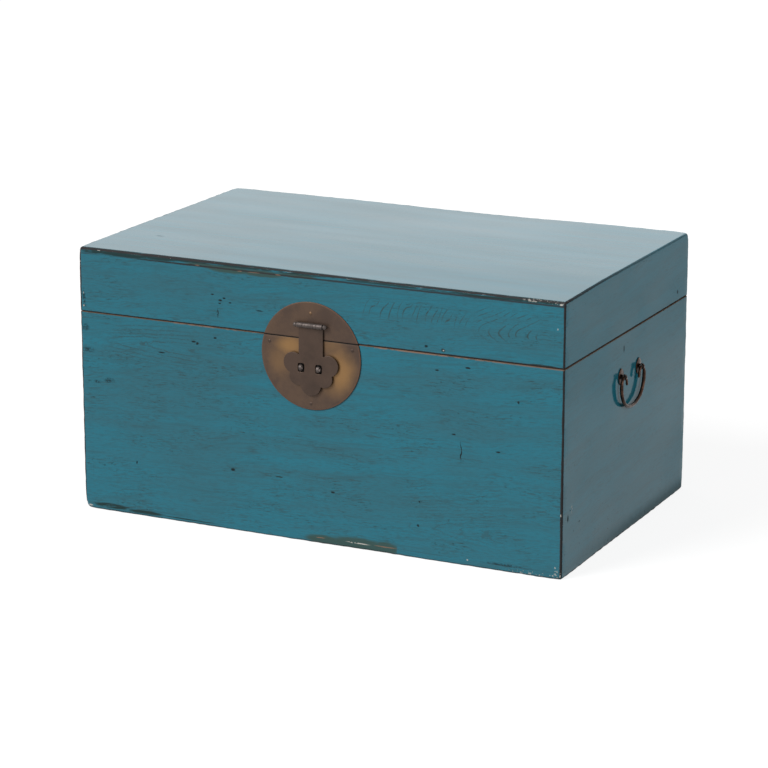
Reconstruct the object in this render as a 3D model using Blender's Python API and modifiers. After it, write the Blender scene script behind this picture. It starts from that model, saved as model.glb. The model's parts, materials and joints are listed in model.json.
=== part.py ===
"""Lacquered elm trunk: a finger-jointed case with a hinged lid, a round lock plate
with a cloud-shaped hasp, and a drop handle on each end.

Metres, +Z up. The front faces -Y and the length runs along X. The origin is the
middle of the underside.
"""

import math
from collections import defaultdict

import bmesh
import bpy
from mathutils import Matrix, Vector

# Case and lid
LENGTH = 0.800
DEPTH = 0.500
CASE_HEIGHT = 0.315  # underside to the middle of the seam
LID_HEIGHT = 0.100  # middle of the seam to the top
SEAM_GAP = 0.0005
BOARD = 0.016
BOTTOM_THICKNESS = 0.010
TOP_THICKNESS = 0.009
EDGE_RADIUS = 0.003
SEAM_RADIUS = 0.0010
CASE_FINGERS = 7
LID_FINGERS = 3
BATTEN_WIDTH = 0.040
BATTEN_THICKNESS = 0.012
BATTEN_INSET = 0.200  # trunk's end to the middle of a batten
FIT = 0.0003  # gap between pieces that touch

# Round lock plate, split at the seam
LOCK_X = -0.003
PLATE_RADIUS = 0.082
PLATE_THICKNESS = 0.0015
PLATE_DROP = 0.026  # seam down to the plate's centre
SIDE_NAIL_ANGLE = 13.0  # degrees above the plate's level
SIDE_NAIL_INSET = 0.0117  # rim to nail
BOTTOM_NAIL_INSET = 0.009
TOP_NAIL_INSET = 0.017

# Hasp, its pin and the eyes that hold it
HASP_OFFSET = 0.0015  # plate's middle to the hasp's middle
HASP_RISE = 0.0215  # seam up to the hasp's axis
HASP_THICKNESS = 0.0015
HASP_STANDOFF = 0.0012  # plate to hasp when it is pressed home
HASP_TILT = 0.8  # degrees that the hasp hangs out from the plate
STRAP_WIDTH = 0.040
KNUCKLE_RADIUS = 0.004
KNUCKLE_LENGTH = 0.042
HASP_PIN_RADIUS = 0.0022
BALL_RADIUS = 0.0036
HASP_EYE_WIDTH = 0.005
HASP_EYE_SPACING = 0.018
UPPER_LOBE = (0.0291, 0.0592, 0.0160)  # centre across, centre below the axis, radius
LOWER_LOBE = (0.0217, 0.0792, 0.0138)
TIP_LOBE = (0.0, 0.0905, 0.0168)
TIP_POINT = 0.0008  # how far the tip is drawn out

# Staples that take the padlock's bolt
STAPLE_DROP = 0.0441  # seam down to the staples
STAPLE_SPACING = 0.029
STAPLE_WIDTH = 0.0045
STAPLE_STRIP = 0.0012
STAPLE_REACH = 0.0080  # plate to the staple's tip
STAPLE_HEIGHT = 0.0095
HOLE_SIDE_ROOM = 0.003
HOLE_END_ROOM = 0.002
HOLE_SQUARENESS = 0.4  # power of the hole's superellipse: 1 is an oval, 0 a rectangle

# Drop handles
HANDLE_Y = 0.0045
HANDLE_DROP = 0.0635  # seam down to the bail's axis
HANDLE_STANDOFF = 0.0063  # end board to the bail's axis
HANDLE_EYE_SPACING = 0.0715
HANDLE_EYE_WIDTH = 0.004
HANDLE_EYE_STRIP = 0.0014
HANDLE_EYE_ROOM = 0.0007  # between the bail and the eye
BAIL_DROP = 0.0515
BAIL_BULGE = 0.0103  # how far the bail swells beyond its eyes
BAIL_GRIP_RADIUS = 0.00275
BAIL_CROOK_RADIUS = 0.0022
BAIL_TIP_RADIUS = 0.0019
BAIL_TAIL = 0.0113  # eye to the tail's tip, inwards
BAIL_TAIL_DROP = 0.0135
ROSETTE_WIDTH = 0.020
ROSETTE_HEIGHT = 0.026
ROSETTE_THICKNESS = 0.0014

# Hinges on the back
HINGE_INSET = 0.140  # trunk's end to the middle of a hinge
HINGE_LENGTH = 0.060
HINGE_KNUCKLES = 5
HINGE_KNUCKLE_RADIUS = 0.004
HINGE_PIN_RADIUS = 0.002
HINGE_CAP_RADIUS = 0.0034
HINGE_CAP_HEIGHT = 0.0016
LEAF_HEIGHT = 0.030
LEAF_THICKNESS = 0.0015
LEAF_NAIL_SPREAD = 0.021
LEAF_NAIL_HEIGHT = 0.020  # axis to nails
LEAF_BITE = 0.0001  # how deep the leaf's back lies behind the knuckle

# Nails and split pins
NAIL_HEAD_RADIUS = 0.0029
NAIL_DOME = 0.0016
NAIL_SHANK_RADIUS = 0.0010
NAIL_LENGTH = 0.012
NAIL_POINT = 0.003
LEG_LENGTH = 0.012

# Facets
ROUND_STEPS = 3
KNUCKLE_SIDES = 16
ROD_SIDES = 8
NAIL_STEPS = 10
PIN_STEPS = 12
PLATE_STEPS = 48
LOBE_STEPS = 10
EYE_STEPS = 18
OVERCUT = 0.002  # how far a cutter runs past the piece it cuts

# Levels and faces
SEAM = CASE_HEIGHT
HEIGHT = CASE_HEIGHT + LID_HEIGHT
CASE_TOP = SEAM - SEAM_GAP / 2
LID_BOTTOM = SEAM + SEAM_GAP / 2
FLOOR_TOP = BOTTOM_THICKNESS
TOP_UNDERSIDE = HEIGHT - TOP_THICKNESS
FRONT = -DEPTH / 2
BACK = DEPTH / 2
END = LENGTH / 2
BATTEN_SPACING = LENGTH - 2 * BATTEN_INSET
HINGE_SPACING = LENGTH - 2 * HINGE_INSET

UP = Vector((0, 0, 1))
TO_FRONT = Vector((0, -1, 0))
TO_BACK = Vector((0, 1, 0))
SIDES = {
    "-x": Vector((-1, 0, 0)),
    "+x": Vector((1, 0, 0)),
    "-y": TO_FRONT,
    "+y": TO_BACK,
    "-z": -UP,
    "+z": UP,
}

# Finish: colour in sRGB bytes, roughness, metallic
FINISHES = {
    "lacquer": ((55, 116, 136), 0.28, 0.0),
    "bare_elm": ((132, 100, 70), 0.60, 0.0),
    "aged_brass": ((100, 80, 62), 0.45, 0.9),
    "steel": ((135, 130, 128), 0.35, 1.0),
    "dark_iron": ((72, 60, 54), 0.45, 0.9),
}

for leftover in list(bpy.data.objects):
    bpy.data.objects.remove(leftover, do_unlink=True)
PARTS = bpy.data.collections.new("elm_trunk")
CUTTERS = bpy.data.collections.new("cutters")
for group in (PARTS, CUTTERS):
    bpy.context.scene.collection.children.link(group)

# Closed shapes to cut out of each piece, gathered while the pieces are made
DRILLED = defaultdict(bmesh.new)


def linear(byte):
    """Linear light of one sRGB colour byte."""
    value = byte / 255
    return value / 12.92 if value <= 0.04045 else ((value + 0.055) / 1.055) ** 2.4


def paint(piece, finish):
    """Give a piece its own material in one of the finishes."""
    colour, roughness, metallic = FINISHES[finish]
    material = bpy.data.materials.new(f"{piece.name}_{finish}")
    material.use_nodes = True
    shader = material.node_tree.nodes["Principled BSDF"]
    shader.inputs["Base Color"].default_value = (*(linear(byte) for byte in colour), 1.0)
    shader.inputs["Roughness"].default_value = roughness
    shader.inputs["Metallic"].default_value = metallic
    piece.data.materials.append(material)


def add_piece(name, data, finish):
    """Link mesh or curve data to the scene as one painted piece."""
    piece = bpy.data.objects.new(name, data)
    PARTS.objects.link(piece)
    paint(piece, finish)
    return piece


def mesh_from(name, bm):
    """Turn a mesh under construction into mesh data."""
    mesh = bpy.data.meshes.new(name)
    bm.to_mesh(mesh)
    bm.free()
    return mesh


def facing(outward):
    """Turn that lays the XY plane against a wall: Y upright, Z out of the wall."""
    return Matrix((UP.cross(outward), UP, outward)).transposed().to_4x4()


def edge_on(outward):
    """Turn that stands the XY plane out of a wall: X out of the wall, Y upright."""
    return Matrix((outward, UP, outward.cross(UP))).transposed().to_4x4()


def add_box(bm, low, high):
    """Add a closed box between two corners."""
    low, high = Vector(low), Vector(high)
    place = Matrix.Translation((low + high) / 2) @ Matrix.Diagonal((*(high - low), 1.0))
    bmesh.ops.create_cube(bm, size=1.0, matrix=place)


def add_rod(bm, start, end, radius, sides=ROD_SIDES):
    """Add a closed round rod between two points."""
    start, end = Vector(start), Vector(end)
    along = end - start
    place = Matrix.Translation((start + end) / 2) @ along.to_track_quat("Z", "Y").to_matrix().to_4x4()
    bmesh.ops.create_cone(
        bm, cap_ends=True, segments=sides, radius1=radius, radius2=radius, depth=along.length, matrix=place
    )


def combine(piece, bm, operation="DIFFERENCE"):
    """Cut the shapes in bm out of a piece, or join them to it, in the piece's own space."""
    tool = bpy.data.objects.new(f"{piece.name}_{operation.lower()}", mesh_from(piece.name, bm))
    CUTTERS.objects.link(tool)
    tool.parent = piece
    tool.hide_render = True
    tool.display_type = "WIRE"
    boolean = piece.modifiers.new(operation.title(), "BOOLEAN")
    boolean.operation = operation
    boolean.solver = "EXACT"
    boolean.object = tool


def block(name, low, high, finish, outer=(), seam=None, inner=None):
    """Box between two corners.

    Edges where two outer sides meet get the trunk's edge radius. The side named seam
    gets the small seam radius all round, apart from its edge on the inner side.
    """
    bm = bmesh.new()
    add_box(bm, low, high)
    bm.normal_update()
    normals = [SIDES[side] for side in outer]
    edges = [
        edge
        for edge in bm.edges
        if all(any(face.normal.dot(normal) > 0.99 for normal in normals) for face in edge.link_faces)
    ]
    if edges:
        bmesh.ops.bevel(
            bm, geom=edges, offset=EDGE_RADIUS, segments=ROUND_STEPS, profile=0.5, affect="EDGES"
        )
    if seam:
        bm.normal_update()
        rim = [
            edge
            for edge in bm.edges
            if any(face.normal.dot(SIDES[seam]) > 0.99 for face in edge.link_faces)
            and not any(face.normal.dot(SIDES[inner]) > 0.99 for face in edge.link_faces)
        ]
        bmesh.ops.bevel(bm, geom=rim, offset=SEAM_RADIUS, segments=2, profile=0.5, affect="EDGES")
    return add_piece(name, mesh_from(name, bm), finish)


def outline_curve(name, outlines, thickness):
    """Flat curve data: the first outline filled, the others open, centred on Z."""
    data = bpy.data.curves.new(name, "CURVE")
    data.dimensions = "2D"
    data.fill_mode = "BOTH"
    data.extrude = thickness / 2
    for outline in outlines:
        spline = data.splines.new("POLY")
        spline.points.add(len(outline) - 1)
        for point, (across, along) in zip(spline.points, outline):
            point.co = (across, along, 0, 1)
        spline.use_cyclic_u = True
    return data


def plate(name, outlines, thickness, place, finish):
    """Flat plate cut from outlines, as a mesh that can be drilled, laid at a place."""
    curve = bpy.data.objects.new(name, outline_curve(name, outlines, thickness))
    PARTS.objects.link(curve)
    bpy.context.view_layer.update()
    evaluated = curve.evaluated_get(bpy.context.evaluated_depsgraph_get())
    bm = bmesh.new()
    bm.from_mesh(bpy.data.meshes.new_from_object(evaluated))
    bpy.data.objects.remove(curve, do_unlink=True)
    bmesh.ops.remove_doubles(bm, verts=bm.verts, dist=0.00001)
    bmesh.ops.transform(bm, matrix=place, verts=bm.verts)
    return add_piece(name, mesh_from(name, bm), finish)


def turned(name, profile, steps, finish):
    """Shape turned about Z from (radius, height) points, top to bottom."""
    bm = bmesh.new()
    points = [bm.verts.new((radius, 0, height)) for radius, height in profile]
    for upper, lower in zip(points, points[1:]):
        bm.edges.new((upper, lower))
    piece = add_piece(name, mesh_from(name, bm), finish)
    screw = piece.modifiers.new("Turn", "SCREW")
    screw.steps = steps
    screw.render_steps = steps
    screw.use_merge_vertices = True
    screw.merge_threshold = 0.00001
    return piece


def arc(centre, radius, start, end, steps):
    """Points on an arc between two angles in radians, both ends included."""
    angles = [start + (end - start) * step / steps for step in range(steps + 1)]
    return [(centre[0] + radius * math.cos(a), centre[1] + radius * math.sin(a)) for a in angles]


def oval(half_across, half_along, steps):
    """Points round an oval centred on the origin."""
    angles = [math.tau * step / steps for step in range(steps)]
    return [(half_across * math.cos(a), half_along * math.sin(a)) for a in angles]


def nail(name, seat, outward, through, finish):
    """Domed nail whose head sits at seat, drilled through the pieces named."""
    profile = [
        (0.0, NAIL_DOME),
        (NAIL_HEAD_RADIUS * 0.6, NAIL_DOME * 0.8),
        (NAIL_HEAD_RADIUS, 0.0),
        (NAIL_SHANK_RADIUS, 0.0),
        (NAIL_SHANK_RADIUS, NAIL_POINT - NAIL_LENGTH),
        (0.0, -NAIL_LENGTH),
    ]
    piece = turned(name, profile, NAIL_STEPS, finish)
    piece.matrix_world = Matrix.Translation(seat + outward * FIT) @ facing(outward)
    for drilled in through:
        add_rod(
            DRILLED[drilled],
            seat + outward * OVERCUT,
            seat - outward * (NAIL_LENGTH + FIT),
            NAIL_SHANK_RADIUS + FIT,
        )
    return piece


def split_pin(name, eye, outward, width, half_depth, half_height, strip, wall, through, finish):
    """Split pin: an oval eye outside the wall, two legs through it, turned over inside.

    The eye's middle is a point, wall is how far inside it the wall's inner face lies,
    and the pieces named get a slot for the legs.
    """
    leg = wall + FIT
    root = math.asin(strip / half_height)
    angles = [root + (math.tau - 2 * root) * step / EYE_STEPS for step in range(EYE_STEPS + 1)]
    outside = [(-half_depth * math.cos(a), half_height * math.sin(a)) for a in angles]
    outside += [(-leg, -strip), (-leg, -LEG_LENGTH), (-leg - strip, -LEG_LENGTH)]
    outside += [(-leg - strip, LEG_LENGTH), (-leg, LEG_LENGTH), (-leg, strip)]
    hole = oval(half_depth - strip, half_height - strip, EYE_STEPS)
    piece = add_piece(name, outline_curve(name, [outside, hole], width), finish)
    piece.matrix_world = Matrix.Translation(eye) @ edge_on(outward)
    along = UP.cross(outward) * (width / 2 + FIT)
    rise = UP * (strip + FIT)
    for drilled in through:
        corners = (eye - outward * (leg + OVERCUT) - along - rise, eye + along + rise)
        low = [min(pair) for pair in zip(*corners)]
        high = [max(pair) for pair in zip(*corners)]
        add_box(DRILLED[drilled], low, high)
    return piece


def barrel(piece, half_length, radius, bore, sides, notches):
    """Roll a knuckle along X round a piece's origin, bore it and cut its notches.

    Each notch is (middle, half width, low corner, high corner) with the corners in Y and Z.
    """
    roll = bmesh.new()
    add_rod(roll, (-half_length, 0, 0), (half_length, 0, 0), radius, sides)
    combine(piece, roll, "UNION")
    drill = bmesh.new()
    reach = half_length + OVERCUT
    add_rod(drill, (-reach, 0, 0), (reach, 0, 0), bore, sides)
    combine(piece, drill)
    slots = bmesh.new()
    for middle, half_width, low, high in notches:
        add_box(slots, (middle - half_width, *low), (middle + half_width, *high))
    combine(piece, slots)


def finger_levels(bottom, top, count):
    """Heights where one corner finger ends and the next starts."""
    return [bottom + (top - bottom) * step / count for step in range(count + 1)]


def jointed_frame(names, bottom, top, fingers, seam):
    """Four boards on edge, finger jointed at the corners: front, back, left, right.

    The long boards hold the even fingers, counted from the bottom, and the ends the odd ones.
    """
    front, back, left, right = names
    levels = finger_levels(bottom, top, fingers)
    spans = {
        front: ((-END, FRONT), (END, FRONT + BOARD), ("-x", "+x", "-y"), "+y"),
        back: ((-END, BACK - BOARD), (END, BACK), ("-x", "+x", "+y"), "-y"),
        left: ((-END, FRONT), (-END + BOARD, BACK), ("-y", "+y", "-x"), "+x"),
        right: ((END - BOARD, FRONT), (END, BACK), ("-y", "+y", "+x"), "-x"),
    }
    for name, (low, high, outer, inner) in spans.items():
        block(name, (*low, bottom), (*high, top), "lacquer", outer, seam, inner)
        is_long = name in (front, back)
        shoulder = (END if is_long else BACK) - BOARD - FIT
        tip = (END if is_long else BACK) + OVERCUT
        for finger in range(1 if is_long else 0, fingers, 2):
            floor = levels[finger] - (FIT / 2 if finger else OVERCUT)
            roof = levels[finger + 1] + (FIT / 2 if finger + 1 < fingers else OVERCUT)
            for near, far in ((-tip, -shoulder), (shoulder, tip)):
                if is_long:
                    corners = ((near, low[1] - OVERCUT), (far, high[1] + OVERCUT))
                else:
                    corners = ((low[0] - OVERCUT, near), (high[0] + OVERCUT, far))
                add_box(DRILLED[name], (*corners[0], floor), (*corners[1], roof))


def planks(names, low_z, high_z, face):
    """Boards laid side by side over the whole plan, rounded where they show."""
    width = DEPTH / len(names)
    for index, name in enumerate(names):
        first = index == 0
        last = index == len(names) - 1
        near = FRONT + width * index + (0 if first else FIT / 2)
        far = FRONT + width * (index + 1) - (0 if last else FIT / 2)
        outer = ["-x", "+x", face]
        outer += ["-y"] if first else []
        outer += ["+y"] if last else []
        block(name, (-END, near, low_z), (END, far, high_z), "lacquer", outer)


def make_case():
    """Finger-jointed boards standing on the bottom planks."""
    planks(
        ("bottom_plank_front", "bottom_plank_middle", "bottom_plank_back"), 0.0, BOTTOM_THICKNESS, "-z"
    )
    jointed_frame(
        ("front_board", "back_board", "left_end_board", "right_end_board"),
        FLOOR_TOP + FIT,
        CASE_TOP,
        CASE_FINGERS,
        "+z",
    )


def make_lid():
    """Finger-jointed rails under two top planks, which two battens hold flat."""
    planks(("lid_top_plank_front", "lid_top_plank_back"), TOP_UNDERSIDE, HEIGHT, "+z")
    jointed_frame(
        ("lid_front_rail", "lid_back_rail", "lid_left_rail", "lid_right_rail"),
        LID_BOTTOM,
        TOP_UNDERSIDE - FIT,
        LID_FINGERS,
        "-z",
    )
    reach = BACK - BOARD - FIT
    for side, name in ((-1, "lid_batten_left"), (1, "lid_batten_right")):
        middle = side * BATTEN_SPACING / 2
        block(
            name,
            (middle - BATTEN_WIDTH / 2, -reach, TOP_UNDERSIDE - FIT - BATTEN_THICKNESS),
            (middle + BATTEN_WIDTH / 2, reach, TOP_UNDERSIDE - FIT),
            "bare_elm",
        )


def make_lock_plates():
    """Round plate in two parts, one on the lid and one on the case, with their nails."""
    centre = SEAM - PLATE_DROP
    place = Matrix.Translation((LOCK_X, FRONT - FIT - PLATE_THICKNESS / 2, centre)) @ facing(TO_FRONT)
    upper_cut = math.asin((LID_BOTTOM - centre) / PLATE_RADIUS)
    lower_cut = math.asin((CASE_TOP - centre) / PLATE_RADIUS)
    upper = arc((0, 0), PLATE_RADIUS, upper_cut, math.pi - upper_cut, PLATE_STEPS // 3)
    lower = arc((0, 0), PLATE_RADIUS, math.pi - lower_cut, math.tau + lower_cut, PLATE_STEPS * 2 // 3)
    plate("upper_lock_plate", [upper], PLATE_THICKNESS, place, "aged_brass")
    plate("lower_lock_plate", [lower], PLATE_THICKNESS, place, "aged_brass")
    side = math.radians(SIDE_NAIL_ANGLE)
    nails = {
        "upper_plate_nail": (math.pi / 2, TOP_NAIL_INSET, "upper_lock_plate", "lid_front_rail"),
        "lower_plate_nail_left": (math.pi - side, SIDE_NAIL_INSET, "lower_lock_plate", "front_board"),
        "lower_plate_nail_right": (side, SIDE_NAIL_INSET, "lower_lock_plate", "front_board"),
        "lower_plate_nail_bottom": (-math.pi / 2, BOTTOM_NAIL_INSET, "lower_lock_plate", "front_board"),
    }
    for name, (angle, inset, held, board) in nails.items():
        reach = PLATE_RADIUS - inset
        seat = Vector(
            (
                LOCK_X + reach * math.cos(angle),
                FRONT - FIT - PLATE_THICKNESS,
                centre + reach * math.sin(angle),
            )
        )
        nail(name, seat, TO_FRONT, (held, board), "aged_brass")


def meeting_point(first, second):
    """Where two circles (across, below, radius) cross on their outer side."""
    start, end = Vector((first[0], -first[1])), Vector((second[0], -second[1]))
    between = end - start
    span = between.length
    along = (span**2 + first[2] ** 2 - second[2] ** 2) / (2 * span)
    aside = math.sqrt(first[2] ** 2 - along**2)
    direction = between / span
    normal = Vector((-direction.y, direction.x))
    return start + direction * along + normal * aside


def lobe(circle, start, end):
    """Arc of one lobe from a start point clockwise to an end point."""
    centre = Vector((circle[0], -circle[1]))
    from_start, from_end = start - centre, end - centre
    first = math.atan2(from_start.y, from_start.x)
    last = math.atan2(from_end.y, from_end.x)
    if last > first:
        last -= math.tau
    return arc(centre, circle[2], first, last, LOBE_STEPS)


def hasp_outline():
    """Cloud-shaped hasp: a strap that opens into two pairs of lobes and a tip."""
    edge = STRAP_WIDTH / 2
    across, below, radius = UPPER_LOBE
    shoulder = Vector((edge, math.sqrt(radius**2 - (edge - across) ** 2) - below))
    waist = meeting_point(UPPER_LOBE, LOWER_LOBE)
    neck = meeting_point(LOWER_LOBE, TIP_LOBE)
    tip = Vector((0, -TIP_LOBE[1] - TIP_LOBE[2]))
    half = [(edge, -LEAF_BITE)]
    half += lobe(UPPER_LOBE, shoulder, waist)
    half += lobe(LOWER_LOBE, waist, neck)[1:]
    half += lobe(TIP_LOBE, neck, tip)[1:-1]
    point = [(0.0, tip.y - TIP_POINT)]
    return half + point + [(-across, along) for across, along in reversed(half)]


def staple_hole(middle, level):
    """Squarish slot in the hasp that clears a staple all round: a superellipse."""
    half_width = STAPLE_WIDTH / 2 + HOLE_SIDE_ROOM
    half_height = STAPLE_HEIGHT / 2 + HOLE_END_ROOM
    points = []
    for across, along in oval(1.0, 1.0, EYE_STEPS):
        wide = math.copysign(abs(across) ** HOLE_SQUARENESS, across)
        tall = math.copysign(abs(along) ** HOLE_SQUARENESS, along)
        points.append((middle + half_width * wide, level + half_height * tall))
    return points


def make_hasp():
    """Hasp on its pin, the eyes that hold the pin to the lid, and the staples."""
    plate_front = FRONT - FIT - PLATE_THICKNESS
    hasp_x = LOCK_X + HASP_OFFSET
    axis = Vector((hasp_x, plate_front - HASP_STANDOFF - KNUCKLE_RADIUS, SEAM + HASP_RISE))
    bore = HASP_PIN_RADIUS + FIT
    hole_level = -(HASP_RISE + STAPLE_DROP)
    outlines = [hasp_outline()]
    outlines += [staple_hole(side * STAPLE_SPACING / 2 - HASP_OFFSET, hole_level) for side in (-1, 1)]
    leaf_back = KNUCKLE_RADIUS - LEAF_BITE
    place = Matrix.Translation((0, leaf_back - HASP_THICKNESS / 2, 0)) @ facing(TO_FRONT)
    hasp = plate("hasp", outlines, HASP_THICKNESS, place, "aged_brass")
    clear = KNUCKLE_RADIUS + 2 * FIT
    notches = [
        (side * HASP_EYE_SPACING / 2, HASP_EYE_WIDTH / 2 + FIT, (-clear, -clear), (clear, clear))
        for side in (-1, 1)
    ]
    barrel(hasp, KNUCKLE_LENGTH / 2, KNUCKLE_RADIUS, bore, KNUCKLE_SIDES, notches)
    hasp.location = axis
    hasp.rotation_euler = (-math.radians(HASP_TILT), 0, 0)

    ball_middle = KNUCKLE_LENGTH / 2 + FIT + math.sqrt(BALL_RADIUS**2 - bore**2)
    ball_foot = math.asin(HASP_PIN_RADIUS / BALL_RADIUS)
    ball = arc((0, ball_middle), BALL_RADIUS, math.pi / 2, ball_foot - math.pi / 2, PIN_STEPS // 2)
    profile = [(0.0, ball[0][1])] + ball[1:]
    profile += [(radius, -height) for radius, height in reversed(profile)]
    pin = turned("hasp_pin", profile, PIN_STEPS, "steel")
    pin.matrix_world = Matrix.Translation(axis) @ Matrix.Rotation(math.pi / 2, 4, "Y")

    for side, name in ((-1, "left"), (1, "right")):
        split_pin(
            f"hasp_eye_{name}",
            axis + Vector((side * HASP_EYE_SPACING / 2, 0, 0)),
            TO_FRONT,
            HASP_EYE_WIDTH,
            KNUCKLE_RADIUS,
            KNUCKLE_RADIUS,
            KNUCKLE_RADIUS - bore,
            FRONT + BOARD - axis.y,
            ("upper_lock_plate", "lid_front_rail"),
            "aged_brass",
        )
        half_depth = (STAPLE_REACH - FIT) / 2
        eye = Vector((LOCK_X + side * STAPLE_SPACING / 2, plate_front - FIT - half_depth, SEAM - STAPLE_DROP))
        split_pin(
            f"lock_staple_{name}",
            eye,
            TO_FRONT,
            STAPLE_WIDTH,
            half_depth,
            STAPLE_HEIGHT / 2,
            STAPLE_STRIP,
            FRONT + BOARD - eye.y,
            ("lower_lock_plate", "front_board"),
            "steel",
        )


def bail_path():
    """Half of a bail as (along, height, radius), from its tail to the middle of the grip."""
    eye = HANDLE_EYE_SPACING / 2
    return [
        (eye - BAIL_TAIL, -BAIL_TAIL_DROP, BAIL_TIP_RADIUS),
        (eye - 0.80 * BAIL_TAIL, -0.45 * BAIL_TAIL_DROP, BAIL_TIP_RADIUS),
        (eye - 0.40 * BAIL_TAIL, -0.06 * BAIL_TAIL_DROP, BAIL_CROOK_RADIUS),
        (eye, 0.0, BAIL_CROOK_RADIUS),
        (eye + 0.40 * BAIL_BULGE, -0.02 * BAIL_DROP, BAIL_CROOK_RADIUS),
        (eye + 0.85 * BAIL_BULGE, -0.12 * BAIL_DROP, BAIL_CROOK_RADIUS),
        (eye + BAIL_BULGE, -0.26 * BAIL_DROP, BAIL_GRIP_RADIUS),
        (eye + 0.75 * BAIL_BULGE, -0.53 * BAIL_DROP, BAIL_GRIP_RADIUS),
        (0.92 * eye, -0.81 * BAIL_DROP, BAIL_GRIP_RADIUS),
        (0.46 * eye, -0.96 * BAIL_DROP, BAIL_GRIP_RADIUS),
        (0.0, -BAIL_DROP, BAIL_GRIP_RADIUS),
    ]


def make_bail(name, axis):
    """Drop handle bent from one tapered rod, hanging from its eyes."""
    half = bail_path()
    points = half + [(-along, height, radius) for along, height, radius in reversed(half[:-1])]
    data = bpy.data.curves.new(name, "CURVE")
    data.dimensions = "3D"
    data.bevel_depth = 1.0
    data.bevel_resolution = 2
    data.use_fill_caps = True
    data.resolution_u = 3
    spline = data.splines.new("BEZIER")
    spline.bezier_points.add(len(points) - 1)
    for point, (along, height, radius) in zip(spline.bezier_points, points):
        point.co = (0, along, height)
        point.radius = radius
        point.handle_left_type = "AUTO"
        point.handle_right_type = "AUTO"
    bail = add_piece(name, data, "dark_iron")
    bail.location = axis
    return bail


def rosette_outline():
    """Leaf drawn to a point above and below: two arcs of one radius."""
    half_width, half_height = ROSETTE_WIDTH / 2, ROSETTE_HEIGHT / 2
    radius = (half_width**2 + half_height**2) / (2 * half_width)
    spread = math.asin(half_height / radius)
    right = arc((half_width - radius, 0), radius, -spread, spread, LOBE_STEPS)
    return right + [(-across, along) for across, along in reversed(right[1:-1])]


def make_handles():
    """A bail, two eyes and two rosettes on each end board."""
    eye_radius = BAIL_CROOK_RADIUS + HANDLE_EYE_ROOM + HANDLE_EYE_STRIP
    for side, end in (("left", Vector((-1, 0, 0))), ("right", Vector((1, 0, 0)))):
        board = f"{side}_end_board"
        axis = end * (END + HANDLE_STANDOFF) + Vector((0, HANDLE_Y, SEAM - HANDLE_DROP))
        make_bail(f"{side}_bail", axis)
        for step, place in ((-1, "front"), (1, "back")):
            eye = axis + Vector((0, step * HANDLE_EYE_SPACING / 2, 0))
            seat = eye - end * (HANDLE_STANDOFF - FIT - ROSETTE_THICKNESS / 2)
            rosette = f"{side}_handle_rosette_{place}"
            plate(
                rosette,
                [rosette_outline()],
                ROSETTE_THICKNESS,
                Matrix.Translation(seat) @ facing(end),
                "dark_iron",
            )
            split_pin(
                f"{side}_handle_eye_{place}",
                eye,
                end,
                HANDLE_EYE_WIDTH,
                eye_radius,
                eye_radius,
                HANDLE_EYE_STRIP,
                HANDLE_STANDOFF + BOARD,
                (rosette, board),
                "dark_iron",
            )


def make_hinges():
    """Two butt hinges across the back of the seam, each with its pin and nails."""
    axis_y = BACK + FIT + HINGE_KNUCKLE_RADIUS + LEAF_BITE
    bore = HINGE_PIN_RADIUS + FIT
    pitch = HINGE_LENGTH / HINGE_KNUCKLES
    clear = HINGE_KNUCKLE_RADIUS + 2 * FIT
    back = -HINGE_KNUCKLE_RADIUS - LEAF_BITE
    for side, name in ((-1, "left"), (1, "right")):
        axis = Vector((side * HINGE_SPACING / 2, axis_y, SEAM))
        for up, level, held, kept in ((1, "upper", "lid_back_rail", 1), (-1, "lower", "back_board", 0)):
            leaf_name = f"{name}_hinge_{level}_leaf"
            bm = bmesh.new()
            heights = sorted((0.0, up * LEAF_HEIGHT))
            half = HINGE_LENGTH / 2
            add_box(bm, (-half, back, heights[0]), (half, back + LEAF_THICKNESS, heights[1]))
            leaf = add_piece(leaf_name, mesh_from(leaf_name, bm), "aged_brass")
            notches = []
            for knuckle in range(HINGE_KNUCKLES):
                if knuckle % 2 != kept:
                    middle = (knuckle + 0.5) * pitch - half
                    outer = knuckle in (0, HINGE_KNUCKLES - 1)
                    reach = pitch / 2 + FIT / 2
                    shift = OVERCUT / 2 * (1 if knuckle else -1) if outer else 0.0
                    width = reach + (OVERCUT / 2 if outer else 0.0)
                    notches.append((middle + shift, width, (-clear, -clear), (clear, clear)))
            barrel(leaf, half, HINGE_KNUCKLE_RADIUS, bore, KNUCKLE_SIDES, notches)
            leaf.location = axis
            for step, spot in ((-1, "left"), (0, "middle"), (1, "right")):
                seat = Vector(
                    (
                        axis.x + step * LEAF_NAIL_SPREAD,
                        BACK + FIT + LEAF_THICKNESS,
                        SEAM + up * LEAF_NAIL_HEIGHT,
                    )
                )
                nail(f"{leaf_name}_nail_{spot}", seat, TO_BACK, (held,), "aged_brass")
                spot_in_leaf = seat - axis
                add_rod(
                    DRILLED[leaf_name],
                    spot_in_leaf + TO_BACK * OVERCUT,
                    spot_in_leaf - TO_BACK * (LEAF_THICKNESS + OVERCUT),
                    NAIL_SHANK_RADIUS + FIT,
                )
        half_pin = HINGE_LENGTH / 2 + FIT
        cap = half_pin + HINGE_CAP_HEIGHT
        profile = [
            (0.0, cap),
            (HINGE_CAP_RADIUS * 0.7, cap - HINGE_CAP_HEIGHT * 0.2),
            (HINGE_CAP_RADIUS, half_pin),
            (HINGE_PIN_RADIUS, half_pin),
        ]
        profile += [(radius, -height) for radius, height in reversed(profile)]
        pin = turned(f"{name}_hinge_pin", profile, PIN_STEPS, "aged_brass")
        pin.matrix_world = Matrix.Translation(axis) @ Matrix.Rotation(math.pi / 2, 4, "Y")


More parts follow.
